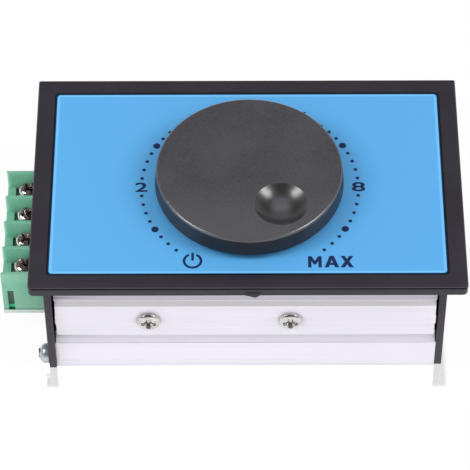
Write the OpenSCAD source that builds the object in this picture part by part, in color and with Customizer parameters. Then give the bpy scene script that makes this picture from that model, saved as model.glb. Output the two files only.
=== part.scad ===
// Panel-mounted dc motor speed controller: an aluminium channel with two end plates, a plastic
// face panel with a large knob on a potentiometer, a power board on the channel's ledges and a
// four-way screw terminal block that comes out through the left end plate.
// The origin is the middle of the channel's underside, +X to the right, +Y to the rear, +Z up.

/* [Panel] */
// Width of the face panel
panel_w = 123; // [104:0.5:150]
// Depth of the face panel, front to rear
panel_d = 77.4; // [64:0.1:95]
// Thickness of the panel's rim
panel_t = 3.7; // [3:0.1:4.2]
// Corner radius of the panel's lower band
panel_corner_r = 1.4; // [1:0.1:4]
// Corner radius of the panel's face
face_corner_r = 0.5; // [0.4:0.1:2]
// Height of the panel's face above the channel's underside
face_h = 42.4; // [41.4:0.1:52]
// How far the panel sits to the right of the case's middle
panel_shift = 0.7; // [0:0.1:1.5]
// How far the panel sits to the rear of the case's middle
panel_setback = 0.4; // [0:0.1:1]
// Bare border of the face, left and right of the label's recess
side_border = 5; // [3:0.05:8]
// Bare border of the face, in front of and behind the label's recess
front_border = 4.55; // [3:0.05:8]
// Depth of the label's recess
recess_depth = 0.5; // [0.4:0.1:0.8]
// Thickness of the label
label_t = 0.3; // [0.2:0.05:0.4]
// Gap between the label and the edge of its recess
label_gap = 0.35; // [0.2:0.05:0.8]

/* [Case] */
// Overhang of the panel past each end plate
side_overhang = 4.6; // [3:0.1:6]
// Overhang of the panel past the channel's front and rear walls
front_overhang = 4.1; // [3:0.05:6]
// Thickness of the channel's walls at their pads
wall_t = 3; // [2.6:0.1:4]
// Thickness of the channel's floor
floor_t = 2.2; // [1.8:0.1:2.6]
// Height of the flat band at the foot of each wall
foot_band_h = 11.3; // [9:0.1:14]
// Height of the groove above the foot band
wall_groove_h = 3.9; // [3:0.1:5]
// Depth of that groove
wall_groove_depth = 1.5; // [0.8:0.1:1.6]
// Height of the raised pad that the power devices bolt to
pad_h = 13.3; // [12:0.1:15]
// Setback of the wall above the pad
neck_setback = 1.2; // [0.6:0.1:1.4]
// Thickness of the end plates
end_plate_t = 2.1; // [1.6:0.1:3]
// How far the left end plate stands out past the walls
end_plate_lip = 1; // [0:0.1:1.2]

/* [Knob] */
// Diameter of the knob at its foot
knob_d = 54; // [44:0.5:60]
// Height of the knob
knob_h = 6.3; // [5.6:0.1:9]
// Gap under the knob, measured from the panel's face
knob_gap = 1.6; // [0.8:0.1:3]
// How much narrower the knob's top is, on the radius
knob_taper = 0.4; // [0:0.1:1]
// Radius of the knob's top edge
knob_edge_r = 0.9; // [0.4:0.1:1.4]
// Thickness of the knob's top
knob_top_t = 3.4; // [2.6:0.1:3.6]
// Diameter of the finger dimple
dimple_d = 15.3; // [12:0.1:17]
// Depth of the finger dimple
dimple_depth = 2.9; // [1.5:0.1:3.2]
// Distance of the dimple from the knob's axis
dimple_reach = 15.9; // [14:0.1:16.5]
// Direction of the dimple, in degrees from +X
dimple_angle = -56; // [-60:1:240]
// Place of the knob's axis, left to right from the panel's middle
dial_x = 0.54; // [-2:0.01:2]
// Place of the knob's axis, front to rear from the panel's middle
dial_y = -1.73; // [-2:0.01:2]

/* [Potentiometer] */
// Diameter of the shaft
shaft_d = 6; // [5:0.1:6.4]
// Diameter of the threaded bushing
bushing_d = 7; // [6.9:0.1:8]
// Diameter of the potentiometer's body
pot_d = 16.8; // [15:0.1:18]
// Depth of the panel's well below the rim
well_depth = 8; // [7:0.1:9]
// Inner diameter of the panel's well
well_d = 22; // [18:0.5:26]
// Thickness of the well's wall and floor
well_t = 2.4; // [1.6:0.1:3]
// Length of the threaded bushing above its plate
bushing_h = 6.5; // [6:0.1:7]

/* [Terminals] */
// Distance from one terminal to the next
terminal_pitch = 9.5; // [8.5:0.1:10]
// Thickness of the walls between terminals
divider_t = 1.1; // [1:0.1:1.6]
// Height of the terminal block
block_h = 16.5; // [15.6:0.1:19]
// Depth of the terminal block, from its mouth to its back
block_d = 16.5; // [15.5:0.1:18]
// How far the block stands out past the end plate
block_reach = 13.5; // [12:0.1:14]
// Shift of the block towards the front
block_shift = 0.8; // [0:0.1:2]
// Height of the cell's floor above the board
cell_floor_h = 8.8; // [8.4:0.1:9.4]
// Thread diameter of the terminal screws
clamp_screw_d = 3.5; // [3:0.1:4]
// Head diameter of the terminal screws
clamp_head_d = 5.8; // [5:0.1:6.4]
// Head height of the terminal screws
clamp_head_h = 3.3; // [2.4:0.1:3.4]

/* [Board] */
// Thickness of the circuit board
board_t = 1.6; // [1.2:0.1:2]
// Height of the ledges that the board lies on
ledge_h = 7; // [6.6:0.1:7.4]
// Height of the power devices' screws above the channel's underside
device_screw_h = 22.1; // [21.6:0.1:23]
// Diameter of the large capacitors
capacitor_d = 16; // [12:0.5:18]
// Height of the large capacitors
capacitor_h = 25; // [16:0.5:26]

/* [Screws] */
// Thread diameter of the screws through the front wall
device_screw_d = 3; // [2.5:0.1:3.5]
// Head diameter of those screws
device_head_d = 6.8; // [5:0.1:7.2]
// Head height of those screws
device_head_h = 1.7; // [1.4:0.1:2.6]
// Thread diameter of the end plates' screws
plate_screw_d = 2.5; // [2:0.1:2.9]
// Length of the end plates' screws under the head
plate_screw_l = 9; // [7:0.5:14]
// Head diameter of the left end plate's screws
plate_head_d = 6; // [5:0.1:6.6]
// Head height of the left end plate's screws
plate_head_h = 3; // [1.8:0.1:3.2]
// Head diameter of the right end plate's flush screws
sunk_head_d = 4.8; // [4:0.1:5.4]

/* [Hidden] */
$fn = 64;
hull_fn = 32;
overrun = 1;
// A cross recess, as shares of the screw head's radius and height
cross_w_share = 0.3;
cross_l_share = 1.2;
cross_h_share = 0.6;
// Clearance of pieces that are pressed, glued or screwed together
fit_gap = 0.02;
// Clearance of a shaft in its bearing
run_gap = 0.05;
// Clearance of pieces that are only laid in place
loose_gap = 0.2;
sides = [-1, 1];

// Outer sizes of the case
case_w = panel_w - 2 * side_overhang;
shell_w = case_w - 2 * end_plate_t;
shell_d = panel_d - 2 * front_overhang;
shell_h = face_h - panel_t;
inner_y = shell_d / 2 - wall_t;
pad_z = foot_band_h + wall_groove_h;
neck_z = pad_z + pad_h;
groove_slope_h = 2.4;

// Locating skirt under the panel
skirt_h = 3;
skirt_t = 1.6;

// Screw ports that the end plates' screws bite into
port_wall = 1.15;
port_r = plate_screw_d / 2;
port_block = port_r + port_wall;
port_foot = 0.9;
port_low = [shell_d / 2 - port_block, port_foot + port_block];
port_high = [shell_d / 2 - neck_setback - port_block, shell_h - skirt_h - loose_gap - port_block];
port_slit = 0.9;
plate_hole_r = port_r + loose_gap;
plate_corner_r = 1.2;

// The board's ledge and the rib that keeps it down
ledge_w = 3;
board_top = ledge_h + board_t;
rib_reach = 2;
rib_t = 0.9;
board_w = shell_w - 2 * loose_gap;
board_d = 2 * (inner_y - loose_gap);

// The panel's rim: a groove runs round it below the face, and its edges are eased
face_layer_t = 0.9;
rim_groove_t = 0.5;
rim_groove_depth = 0.3;
rim_ease = 0.35;
foot_ease = 0.5;
recess_z = face_h - recess_depth;
recess_w = panel_w - 2 * side_border;
recess_d = panel_d - 2 * front_border;
recess_r = 1.05;
label_w = recess_w - 2 * label_gap;
label_d = recess_d - 2 * label_gap;
label_r = recess_r - label_gap;
nub_w = 4.3;
nub_drop = 0.8;
nub_tip_share = 0.3;
nub_x = 1.35;
nub_t = 0.3;

// Snap legs under the panel
leg_w = 9;
leg_t = 1.6;
leg_share = 0.72;
hook_t = 1.3;
hook_h = 1.8;

// The knob's axis in the case's frame
axis_x = panel_shift + dial_x;
axis_y = dial_y;
knob_z = face_h + knob_gap;
knob_r = knob_d / 2;
knob_top_r = knob_r - knob_taper;
knob_wall_t = 2.4;
knob_hub_r = 5.6;
knob_rib_t = 1.4;
knob_rib_h = 1.6;
knob_rib_count = 6;
dimple_r = (pow(dimple_d / 2, 2) + pow(dimple_depth, 2)) / (2 * dimple_depth);
dimple_boss_t = 1.5;
sleeve_t = 1.3;
shaft_flat = 0.8;

// The potentiometer hangs under the floor of the panel's well
well_floor_z = shell_h - well_depth;
well_top_z = well_floor_z + well_t;
bushing_top_z = well_floor_z + bushing_h;
hub_gap = 0.5;
hub_z = bushing_top_z + hub_gap;
shaft_top_z = knob_z + knob_h - knob_top_t - hub_gap;
shaft_r = shaft_d / 2;
bushing_r = bushing_d / 2;
pot_r = pot_d / 2;
pot_plate_t = 1.8;
track_t = 1.6;
lug_t = 0.5;
can_h = 5.6;
can_t = 0.5;
switch_h = 6.2;
pot_plate_z = well_floor_z - pot_plate_t;
track_z = pot_plate_z - track_t;
can_z = track_z - can_h;
switch_z = can_z - switch_h;
switch_lug_z = can_z - 2 * lug_t;
wiper_t = 1.2;
wiper_gap = 1.8;
wiper_r = pot_r - can_t - wiper_gap;
key_w = 2.4;
key_t = 1;
key_reach = 7;
washer_t = 0.5;
washer_r = 5.8;
nut_flats = 10;
nut_h = 2;
lug_w = 2;
lug_pitch = 5;
lug_reach = 5.2;
tongue_reach = 3.6;

// Connectors on the board and the wires up to the potentiometer
plug_gap = 4.5;
header_t = 5.8;
header_h = 6;
header_pitch = 2.5;
header_end = 2.4;
header_wall = 0.8;
plug_h = 7.5;
wire_d = 1.3;
wire_bend = 1.5;

// The terminal block
terminal_count = 4;
block_w = terminal_count * terminal_pitch + divider_t;
block_x = -case_w / 2 - block_reach;
block_top = board_top + block_h;
cell_floor_z = board_top + cell_floor_h;
cell_w = terminal_pitch - divider_t;
block_lip_t = 2.4;
block_lip_h = 1.4;
block_back_t = 2;
clamp_inset = 6.6;
clamp_x = block_x + clamp_inset;
contact_t = 1;
contact_z = cell_floor_z + contact_t;
clamp_t = 2.3;
clamp_l = 6;
clamp_z = contact_z + clamp_t;
clamp_screw_r = clamp_screw_d / 2;
clamp_screw_l = 7.5;
screw_well_r = clamp_screw_r + 3 * loose_gap;
screw_well_h = 7.8;
leg_gap = 2.2;
pin_w = 1.2;
pin_drop = 1.9;
end_slot_w = 1.7;
end_slot_h = 8.8;
end_slot_depth = 0.9;
end_slot_inset = 1.6;
mouth_flare = 0.4;
mouth_flare_l = 0.6;
cell_shares = [for (i = [0 : terminal_count - 1]) i - (terminal_count - 1) / 2];

// Power devices on the front wall, as shares of half the board's width
device_shares = [-0.505, 0.236];
device_w = 10.2;
device_h = 15;
device_tab_t = 1.3;
device_body_t = 3.2;
device_body_h = 9.2;
device_hole_drop = 2.8;
device_pitch = 2.54;
device_lead_w = 0.8;
device_lead_t = 0.5;
device_lead_share = 0.4;
pad_t = 0.3;
pad_margin = 1.5;
pad_y = -inner_y;
tab_y = pad_y + pad_t;
device_y = tab_y + device_tab_t;
lead_y = device_y + device_lead_share * device_body_t;
lead_jog = 2.7;
lead_foot_y = lead_y + lead_jog;
device_z = device_screw_h + device_hole_drop - device_h;
nut_m3_flats = 5.5;
nut_m3_h = 2.4;
device_screw_l = wall_t + pad_t + device_tab_t + nut_m3_h + loose_gap;

// Places of the smaller parts, as shares of half the board's width and depth
capacitor_shares = [[-0.72, 0.5], [-0.38, 0.56]];
film_shares = [[-0.74, -0.42]];
chip_shares = [[0.62, 0.16]];
regulator_shares = [[0.82, -0.46]];
small_capacitor_shares = [[0.86, 0.34], [0.5, -0.56]];
ceramic_shares = [[0.52, -0.2], [0.78, -0.16], [-0.16, -0.5]];
resistor_shares = [[0.2, 0.5], [0.2, 0.62], [0.2, 0.74], [0.46, 0.5], [0.46, 0.62], [0.46, 0.74],
    [0.7, 0.62], [0.7, 0.74]];
link_shares = [[-0.84, -0.02], [-0.84, 0.09], [-0.84, 0.2]];
lead_d = 0.7;
film_size = [13, 6, 11];
chip_size = [9.8, 6.4, 3.3];
chip_lift = 0.5;
chip_pin_count = 4;
regulator_r = 2.4;
regulator_h = 4.8;
regulator_lift = 3;
small_capacitor_r = 2.5;
small_capacitor_h = 11;
ceramic_r = 3.2;
ceramic_t = 2.6;
ceramic_lift = 2;
ceramic_lead_x = ceramic_r / 2;
ceramic_lead_h = ceramic_lift + ceramic_r - sqrt(pow(ceramic_r, 2) - pow(ceramic_lead_x - lead_d / 2, 2));
resistor_r = 1.2;
resistor_l = 6.4;
resistor_span = 10.2;
resistor_lift = 0.4;
link_span = 7.6;
link_h = 3;
sleeve_skin = 0.25;
joint_r = 1.1;
joint_h = 1.3;
joint_tip_share = 0.45;

// Plain shapes

module rounded_rect(w, d, r) {
    square([w - 2 * r, d], center = true);
    square([w, d - 2 * r], center = true);
    for (x = sides, y = sides)
        translate([x * (w / 2 - r), y * (d / 2 - r)]) circle(r);
}

module rounded_slab(w, d, t, r) {
    linear_extrude(t) rounded_rect(w, d, r);
}

module tube(outer_r, inner_r, h) {
    difference() {
        cylinder(r = outer_r, h = h);
        translate([0, 0, -overrun]) cylinder(r = inner_r, h = h + 2 * overrun);
    }
}

// Draws a front view, whose own x and y are the case's Y and Z, and runs it along X
module along_x(x, length) {
    translate([x, 0, 0]) rotate([90, 0, 90]) linear_extrude(length) children();
}

module box_at(low, high) {
    translate(low) cube(high - low);
}

// Two crossed slots, cut down from z = 0
module cross_recess(head_r, head_h) {
    for (turn = [0, 90]) rotate(turn)
        cube([cross_l_share * head_r, cross_w_share * head_r, 2 * cross_h_share * head_h], center = true);
}

// A cross-head screw whose head sits on z = 0, with its shank below
module cross_screw(shank_r, shank_l, head_r, head_h, crown_share = 0.4) {
    crown = crown_share * head_h;
    crown_r = (pow(head_r, 2) + pow(crown, 2)) / (2 * crown);
    difference() {
        intersection() {
            cylinder(r = head_r, h = head_h);
            translate([0, 0, head_h - crown_r]) sphere(crown_r);
        }
        translate([0, 0, head_h]) cross_recess(head_r, head_h);
    }
    translate([0, 0, -shank_l]) cylinder(r = shank_r, h = shank_l + fit_gap);
}

module hex_nut(flats, bore_r, h) {
    difference() {
        cylinder(r = flats / sqrt(3), h = h, $fn = 6);
        translate([0, 0, -overrun]) cylinder(r = bore_r, h = h + 2 * overrun);
    }
}

// Face panel, label and knob

module panel_rim() {
    ease_w = panel_w - 2 * rim_ease;
    ease_d = panel_d - 2 * rim_ease;
    groove_z = panel_t - face_layer_t - rim_groove_t;
    hull($fn = hull_fn) {
        rounded_slab(panel_w - 2 * foot_ease, panel_d - 2 * foot_ease, groove_z, panel_corner_r);
        translate([0, 0, foot_ease]) rounded_slab(panel_w, panel_d, groove_z - foot_ease, panel_corner_r);
    }
    rounded_slab(panel_w - 2 * rim_groove_depth, panel_d - 2 * rim_groove_depth, panel_t - rim_ease,
        panel_corner_r);
    translate([0, 0, panel_t - face_layer_t]) hull($fn = hull_fn) {
        rounded_slab(ease_w, ease_d, face_layer_t, face_corner_r);
        rounded_slab(panel_w, panel_d, face_layer_t - rim_ease, face_corner_r);
    }
}

// A wedge-shaped mark on the front of the panel's lower band
module panel_nub() {
    nub_foot = front_overhang / 2;
    translate([nub_x, nub_foot - panel_d / 2, shell_h]) rotate([90, 0, 0])
        linear_extrude(nub_foot + nub_t) polygon([[-nub_w / 2, 0], [nub_w * (1 / 2 - nub_tip_share), -nub_drop],
            [nub_w / 2, 0], [nub_w / 2, foot_ease + rim_ease], [-nub_w / 2, foot_ease + rim_ease]]);
}

module snap_leg() {
    root_y = port_high.x - port_block - loose_gap;
    hook_top = port_high.y - port_block - loose_gap;
    along_x(-leg_w / 2, leg_w) polygon([
        [root_y - leg_t, shell_h + rim_ease], [root_y, shell_h + rim_ease], [root_y, hook_top],
        [root_y + hook_t, hook_top], [root_y, hook_top - hook_h], [root_y - leg_t, hook_top - hook_h]]);
}

module front_panel() {
    skirt_w = shell_w - 2 * loose_gap;
    skirt_d = 2 * (inner_y - loose_gap);
    color("#2f2d31") difference() {
        union() {
            translate([panel_shift, panel_setback, shell_h]) panel_rim();
            translate([panel_shift, panel_setback, 0]) panel_nub();
            translate([0, 0, shell_h - skirt_h]) difference() {
                rounded_slab(skirt_w, skirt_d, skirt_h + rim_ease, panel_corner_r);
                translate([0, 0, -overrun]) rounded_slab(skirt_w - 2 * skirt_t, skirt_d - 2 * skirt_t,
                    skirt_h + overrun, panel_corner_r);
            }
            for (x = sides, y = sides)
                translate([x * leg_share * shell_w / 2, 0, 0]) mirror([0, y < 0 ? 1 : 0, 0]) snap_leg();
            translate([axis_x, axis_y, well_floor_z]) cylinder(r = well_d / 2 + well_t, h = well_depth + rim_ease);
        }
        translate([panel_shift, 0, recess_z]) rounded_slab(recess_w, recess_d, recess_depth + overrun, recess_r);
        translate([axis_x, axis_y, well_top_z]) cylinder(r = well_d / 2, h = face_h);
        translate([axis_x, axis_y, well_floor_z - overrun]) cylinder(r = bushing_r + loose_gap, h = face_h);
        translate([axis_x, axis_y + key_reach, well_floor_z])
            cube([key_w + 2 * loose_gap, key_t + 2 * loose_gap, 2 * (key_t + loose_gap)], center = true);
    }
}

module face_label() {
    color("#62b2f0") translate([0, 0, recess_z]) difference() {
        translate([panel_shift, 0, 0]) rounded_slab(label_w, label_d, label_t, label_r);
        translate([axis_x, axis_y, -overrun]) cylinder(r = well_d / 2 + label_gap, h = label_t + 2 * overrun);
    }
}

module knob_outline() {
    polygon([[0, 0], [knob_r - knob_edge_r / 2, 0], [knob_r, knob_edge_r / 2],
        [knob_top_r, knob_h - knob_edge_r], [knob_top_r - knob_edge_r, knob_h], [0, knob_h]]);
    translate([knob_top_r - knob_edge_r, knob_h - knob_edge_r]) circle(knob_edge_r);
}

module speed_knob() {
    cavity_h = knob_h - knob_top_t;
    bore_r = shaft_r + fit_gap + sleeve_t;
    dimple_x = dimple_reach * cos(dimple_angle);
    dimple_y = dimple_reach * sin(dimple_angle);
    color("#4c4b4f") translate([axis_x, axis_y, knob_z]) difference() {
        union() {
            difference() {
                rotate_extrude($fn = 2 * $fn) knob_outline();
                translate([0, 0, -overrun]) cylinder(r = knob_r - knob_wall_t, h = cavity_h + overrun);
            }
            translate([0, 0, hub_z - knob_z]) cylinder(r = knob_hub_r, h = knob_z + cavity_h - hub_z + fit_gap);
            translate([dimple_x, dimple_y, cavity_h - dimple_boss_t])
                cylinder(r = dimple_d / 2 + dimple_boss_t / 2, h = dimple_boss_t + fit_gap);
            for (i = [0 : knob_rib_count - 1])
                rotate(dimple_angle + (i + 1 / 2) * 360 / knob_rib_count)
                    translate([knob_hub_r - knob_rib_t, -knob_rib_t / 2, cavity_h - knob_rib_h])
                        cube([knob_r - knob_wall_t - knob_hub_r + 2 * knob_rib_t, knob_rib_t, knob_rib_h + fit_gap]);
        }
        translate([dimple_x, dimple_y, knob_h - dimple_depth + dimple_r]) sphere(dimple_r, $fn = 2 * $fn);
        translate([0, 0, hub_z - knob_z - overrun])
            cylinder(r = bore_r, h = shaft_top_z - hub_z + hub_gap / 2 + overrun);
    }
}

// The shaft's cross-section: a round with one flat, which grows by the given clearance
module shaft_section(gap) {
    intersection() {
        circle(shaft_r + gap);
        translate([-shaft_d, -shaft_d]) square([2 * shaft_d, shaft_d + shaft_r - shaft_flat + gap]);
    }
}

module knob_sleeve() {
    color("goldenrod") translate([axis_x, axis_y, hub_z]) rotate(dimple_angle)
        linear_extrude(shaft_top_z - hub_z) difference() {
            circle(shaft_r + sleeve_t);
            shaft_section(fit_gap);
        }
}

module pot_shaft() {
    shaft_z = can_z + 2 * can_t;
    color("silver") translate([axis_x, axis_y, 0]) {
        translate([0, 0, shaft_z]) cylinder(r = shaft_r, h = hub_z - shaft_z);
        translate([0, 0, hub_z]) rotate(dimple_angle) linear_extrude(shaft_top_z - hub_z - fit_gap)
            shaft_section(0);
    }
}

module pot_wiper() {
    finger_w = wiper_t;
    finger_h = track_z - lug_t - loose_gap - can_z - can_h / 2 - wiper_t;
    color("peru") translate([axis_x, axis_y, can_z + can_h / 2]) {
        tube(wiper_r, shaft_r + fit_gap, wiper_t);
        rotate(dimple_angle) translate([wiper_r - 2 * finger_w, -finger_w / 2, wiper_t - fit_gap])
            cube([finger_w, finger_w, finger_h + fit_gap]);
    }
}

module pot_bushing() {
    color("gainsboro") translate([axis_x, axis_y, pot_plate_z]) difference() {
        union() {
            cylinder(r = pot_r, h = pot_plate_t);
            cylinder(r = bushing_r, h = pot_plate_t + bushing_h);
            translate([-key_w / 2, key_reach - key_t / 2, pot_plate_t - fit_gap]) cube([key_w, key_t, key_t + fit_gap]);
        }
        translate([0, 0, -overrun]) cylinder(r = shaft_r + run_gap, h = face_h);
    }
}

module pot_washer() {
    color("silver") translate([axis_x, axis_y, well_top_z]) tube(washer_r, bushing_r + loose_gap, washer_t);
}

module pot_nut() {
    color("silver") translate([axis_x, axis_y, well_top_z + washer_t])
        hex_nut(nut_flats, bushing_r + fit_gap, nut_h);
}

module pot_track() {
    tongue_w = 2 * lug_pitch + 2 * lug_w;
    color("sienna") translate([axis_x, axis_y, track_z]) difference() {
        union() {
            cylinder(r = pot_r - can_t, h = track_t);
            translate([-tongue_w / 2, -pot_r - tongue_reach, 0]) cube([tongue_w, pot_r, track_t]);
        }
        translate([0, 0, -overrun]) cylinder(r = shaft_r + loose_gap, h = track_t + 2 * overrun);
    }
}

module pot_lugs() {
    color("silver") for (i = [-1 : 1])
        translate([axis_x + i * lug_pitch - lug_w / 2, axis_y - pot_r - lug_reach, track_z - lug_t])
            cube([lug_w, lug_reach - 2 * lug_t, lug_t]);
}

module pot_can() {
    color("lightgray") translate([axis_x, axis_y, can_z]) difference() {
        cylinder(r = pot_r, h = can_h);
        translate([0, 0, can_t]) cylinder(r = pot_r - can_t, h = can_h);
    }
}

module pot_switch() {
    color("#d8d2c0") translate([axis_x, axis_y, switch_z]) {
        cylinder(r = pot_r - can_t, h = switch_h);
        translate([0, -pot_r / 2, 0]) cube([pot_r + can_t, pot_r, switch_lug_z - switch_z]);
    }
}

module switch_lugs() {
    color("silver") for (y = sides)
        translate([axis_x + pot_r - can_t, axis_y + y * lug_pitch / 2 - lug_w / 2, switch_lug_z])
            cube([lug_reach + can_t, lug_w, lug_t]);
}

// Channel, end plates and their screws

module wall_outline() {
    outer_y = shell_d / 2;
    difference() {
        union() {
            polygon([[0, 0], [outer_y, 0], [outer_y, foot_band_h],
                [outer_y - wall_groove_depth, foot_band_h + groove_slope_h],
                [outer_y - wall_groove_depth, pad_z], [outer_y, pad_z], [outer_y, neck_z],
                [outer_y - neck_setback, neck_z], [outer_y - neck_setback, shell_h],
                [inner_y, shell_h], [inner_y, floor_t], [0, floor_t]]);
            translate([inner_y - ledge_w, 0]) square([ledge_w + fit_gap, ledge_h]);
            translate([inner_y - rib_reach, board_top + loose_gap]) square([rib_reach + fit_gap, rib_t]);
            translate([inner_y - ledge_w, port_high.y - port_block])
                square([ledge_w + fit_gap, 2 * port_block]);
        }
        for (port = [port_low, port_high]) translate(port) {
            circle(port_r);
            translate([-2 * port_block, -port_slit / 2]) square([2 * port_block, port_slit]);
        }
    }
}

module channel() {
    color("#e2e0e6") difference() {
        along_x(-shell_w / 2, shell_w) {
            wall_outline();
            mirror([1, 0]) wall_outline();
        }
        at_devices() screw_passage();
    }
}

module at_ports() {
    for (y = sides, port = [port_low, port_high]) translate([0, y * port.x, port.y]) children();
}

module plate_outline(lip) {
    plate_y = shell_d / 2 + lip;
    difference() {
        union() {
            translate([-plate_y, plate_corner_r]) square([2 * plate_y, shell_h - plate_corner_r]);
            translate([-plate_y + plate_corner_r, 0]) square([2 * (plate_y - plate_corner_r), shell_h]);
            for (y = sides) translate([y * (plate_y - plate_corner_r), plate_corner_r]) circle(plate_corner_r);
        }
        for (y = sides, port = [port_low, port_high]) translate([y * port.x, port.y]) circle(plate_hole_r);
    }
}

module left_end_plate() {
    color("#38363a") along_x(-case_w / 2, end_plate_t) difference() {
        plate_outline(end_plate_lip);
        translate([-block_shift - block_w / 2 - loose_gap, ledge_h - loose_gap])
            square([block_w + 2 * loose_gap, board_t + block_h + 2 * loose_gap]);
    }
}

module right_end_plate() {
    sink_h = sunk_head_d / 2 - port_r;
    color("#38363a") difference() {
        along_x(shell_w / 2, end_plate_t) plate_outline(0);
        at_ports() translate([case_w / 2 - sink_h, 0, 0]) rotate([0, 90, 0])
            cylinder(r1 = port_r, r2 = sunk_head_d / 2 + overrun, h = sink_h + overrun);
    }
}

module left_plate_screws() {
    color("silver") at_ports() translate([-case_w / 2, 0, 0]) rotate([0, -90, 0])
        cross_screw(port_r - fit_gap, plate_screw_l, plate_head_d / 2, plate_head_h);
}

// A screw whose cone-shaped head ends flush at z = 0
module sunk_screw(shank_r, shank_l, head_r) {
    head_h = head_r - shank_r;
    difference() {
        translate([0, 0, -head_h]) cylinder(r1 = shank_r, r2 = head_r, h = head_h);
        cross_recess(head_r, head_h);
    }
    translate([0, 0, -shank_l]) cylinder(r = shank_r, h = shank_l - head_h + fit_gap);
}

module right_plate_screws() {
    color("silver") at_ports() translate([case_w / 2, 0, 0]) rotate([0, 90, 0])
        sunk_screw(port_r - fit_gap, plate_screw_l, sunk_head_d / 2 - fit_gap);
}

// Power devices and their screws through the front wall

module at_devices() {
    for (share = device_shares) translate([share * board_w / 2, 0, 0]) children();
}

module device_screws() {
    color("silver") at_devices() translate([0, -shell_d / 2, device_screw_h]) rotate([90, 0, 0])
        cross_screw(device_screw_d / 2 - fit_gap, device_screw_l, device_head_d / 2, device_head_h);
}

module device_nuts() {
    color("silver") at_devices() translate([0, device_y, device_screw_h]) rotate([-90, 0, 0])
        hex_nut(nut_m3_flats, device_screw_d / 2, nut_m3_h);
}

module screw_passage() {
    translate([0, -shell_d / 2 - overrun, device_screw_h]) rotate([-90, 0, 0])
        cylinder(r = device_screw_d / 2 + loose_gap / 2, h = shell_d / 2);
}

module insulating_pads() {
    color("whitesmoke") at_devices() difference() {
        box_at([-device_w / 2 - pad_margin, pad_y, device_z],
            [device_w / 2 + pad_margin, tab_y, device_z + device_h + pad_margin]);
        screw_passage();
    }
}

module device_tabs() {
    jog_z = (device_z + board_top + device_lead_t) / 2;
    color("silver") at_devices() {
        difference() {
            box_at([-device_w / 2, tab_y, device_z + lead_d], [device_w / 2, device_y, device_z + device_h]);
            screw_passage();
        }
        at_trio(device_pitch) along_x(-device_lead_w / 2, device_lead_w) polygon([
            [lead_y, device_z], [lead_y + device_lead_t, device_z], [lead_y + device_lead_t, jog_z],
            [lead_foot_y + device_lead_t, jog_z], [lead_foot_y + device_lead_t, ledge_h - joint_h],
            [lead_foot_y, ledge_h - joint_h], [lead_foot_y, jog_z - device_lead_t],
            [lead_y, jog_z - device_lead_t]]);
    }
}

module device_bodies() {
    color("#202022") at_devices() box_at([-device_w / 2, device_y, device_z],
        [device_w / 2, device_y + device_body_t, device_z + device_body_h]);
}

// Circuit board and terminals

module board_outline() {
    square([board_w, board_d], center = true);
    translate([block_x, -block_shift - block_w / 2]) square([-block_x, block_w]);
}

// A hole through the board for round wire, and one for a pin of the given width and thickness
module round_hole(r) {
    translate([0, 0, -board_t - overrun]) cylinder(r = r + fit_gap, h = board_t + 2 * overrun);
}

module pin_hole(w, t) {
    translate([-w / 2 - fit_gap, -t / 2 - fit_gap, -board_t - overrun])
        cube([w + 2 * fit_gap, t + 2 * fit_gap, board_t + 2 * overrun]);
}

module circuit_board() {
    color("#3f8f57") difference() {
        translate([0, 0, ledge_h]) linear_extrude(board_t) board_outline();
        at_board(resistor_shares) at_pair(resistor_span) round_hole(lead_d / 2);
        at_board(ceramic_shares) at_pair(2 * ceramic_lead_x) round_hole(lead_d / 2);
        at_board(regulator_shares) at_trio(device_pitch / 2) round_hole(lead_d / 2);
        at_board(link_shares) at_pair(link_span) round_hole(lead_d);
        at_board(chip_shares) at_chip_pins() pin_hole(lead_d, lead_d);
        at_connectors() at_ways() pin_hole(lead_d, lead_d);
        translate([0, 0, board_top]) {
            at_pin_places() pin_hole(contact_t, 2 * pin_w);
            at_devices() at_trio(device_pitch) translate([0, lead_foot_y + device_lead_t / 2, 0])
                pin_hole(device_lead_w, device_lead_t);
        }
    }
}

module at_cells() {
    for (share = cell_shares)
        translate([clamp_x, share * terminal_pitch - block_shift, 0]) children();
}

module at_pin_places() {
    for (share = cell_shares)
        translate([block_x + block_d - block_back_t - leg_gap, share * terminal_pitch - block_shift, 0])
            children();
}

module terminal_housing() {
    cell_x = block_lip_t - clamp_x + block_x;
    back_x = block_x + block_d - block_back_t - clamp_x;
    slot_x = back_x - leg_gap;
    mouth_y = cell_w / 2 + mouth_flare;
    color("#5fae8c") difference() {
        translate([block_x, -block_shift - block_w / 2, board_top]) cube([block_d, block_w, block_h]);
        at_cells() {
            box_at([cell_x, -cell_w / 2, cell_floor_z], [back_x, cell_w / 2, block_top + overrun]);
            box_at([block_x - clamp_x - overrun, -cell_w / 2, cell_floor_z + block_lip_h],
                [cell_x + overrun, cell_w / 2, block_top + overrun]);
            translate([block_x - clamp_x, 0, cell_floor_z + block_lip_h]) linear_extrude(block_h) polygon([
                [-overrun, -mouth_y], [0, -mouth_y], [mouth_flare_l, -cell_w / 2], [mouth_flare_l, cell_w / 2],
                [0, mouth_y], [-overrun, mouth_y]]);
            translate([0, 0, cell_floor_z - screw_well_h]) cylinder(r = screw_well_r, h = block_h);
            box_at([slot_x - contact_t, -pin_w - loose_gap, board_top - overrun],
                [slot_x + contact_t, pin_w + loose_gap, cell_floor_z + overrun]);
        }
        translate([block_x + end_slot_inset, -block_shift - block_w / 2 - overrun, board_top - overrun])
            cube([end_slot_w, end_slot_depth + overrun, end_slot_h + overrun]);
    }
}

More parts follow.
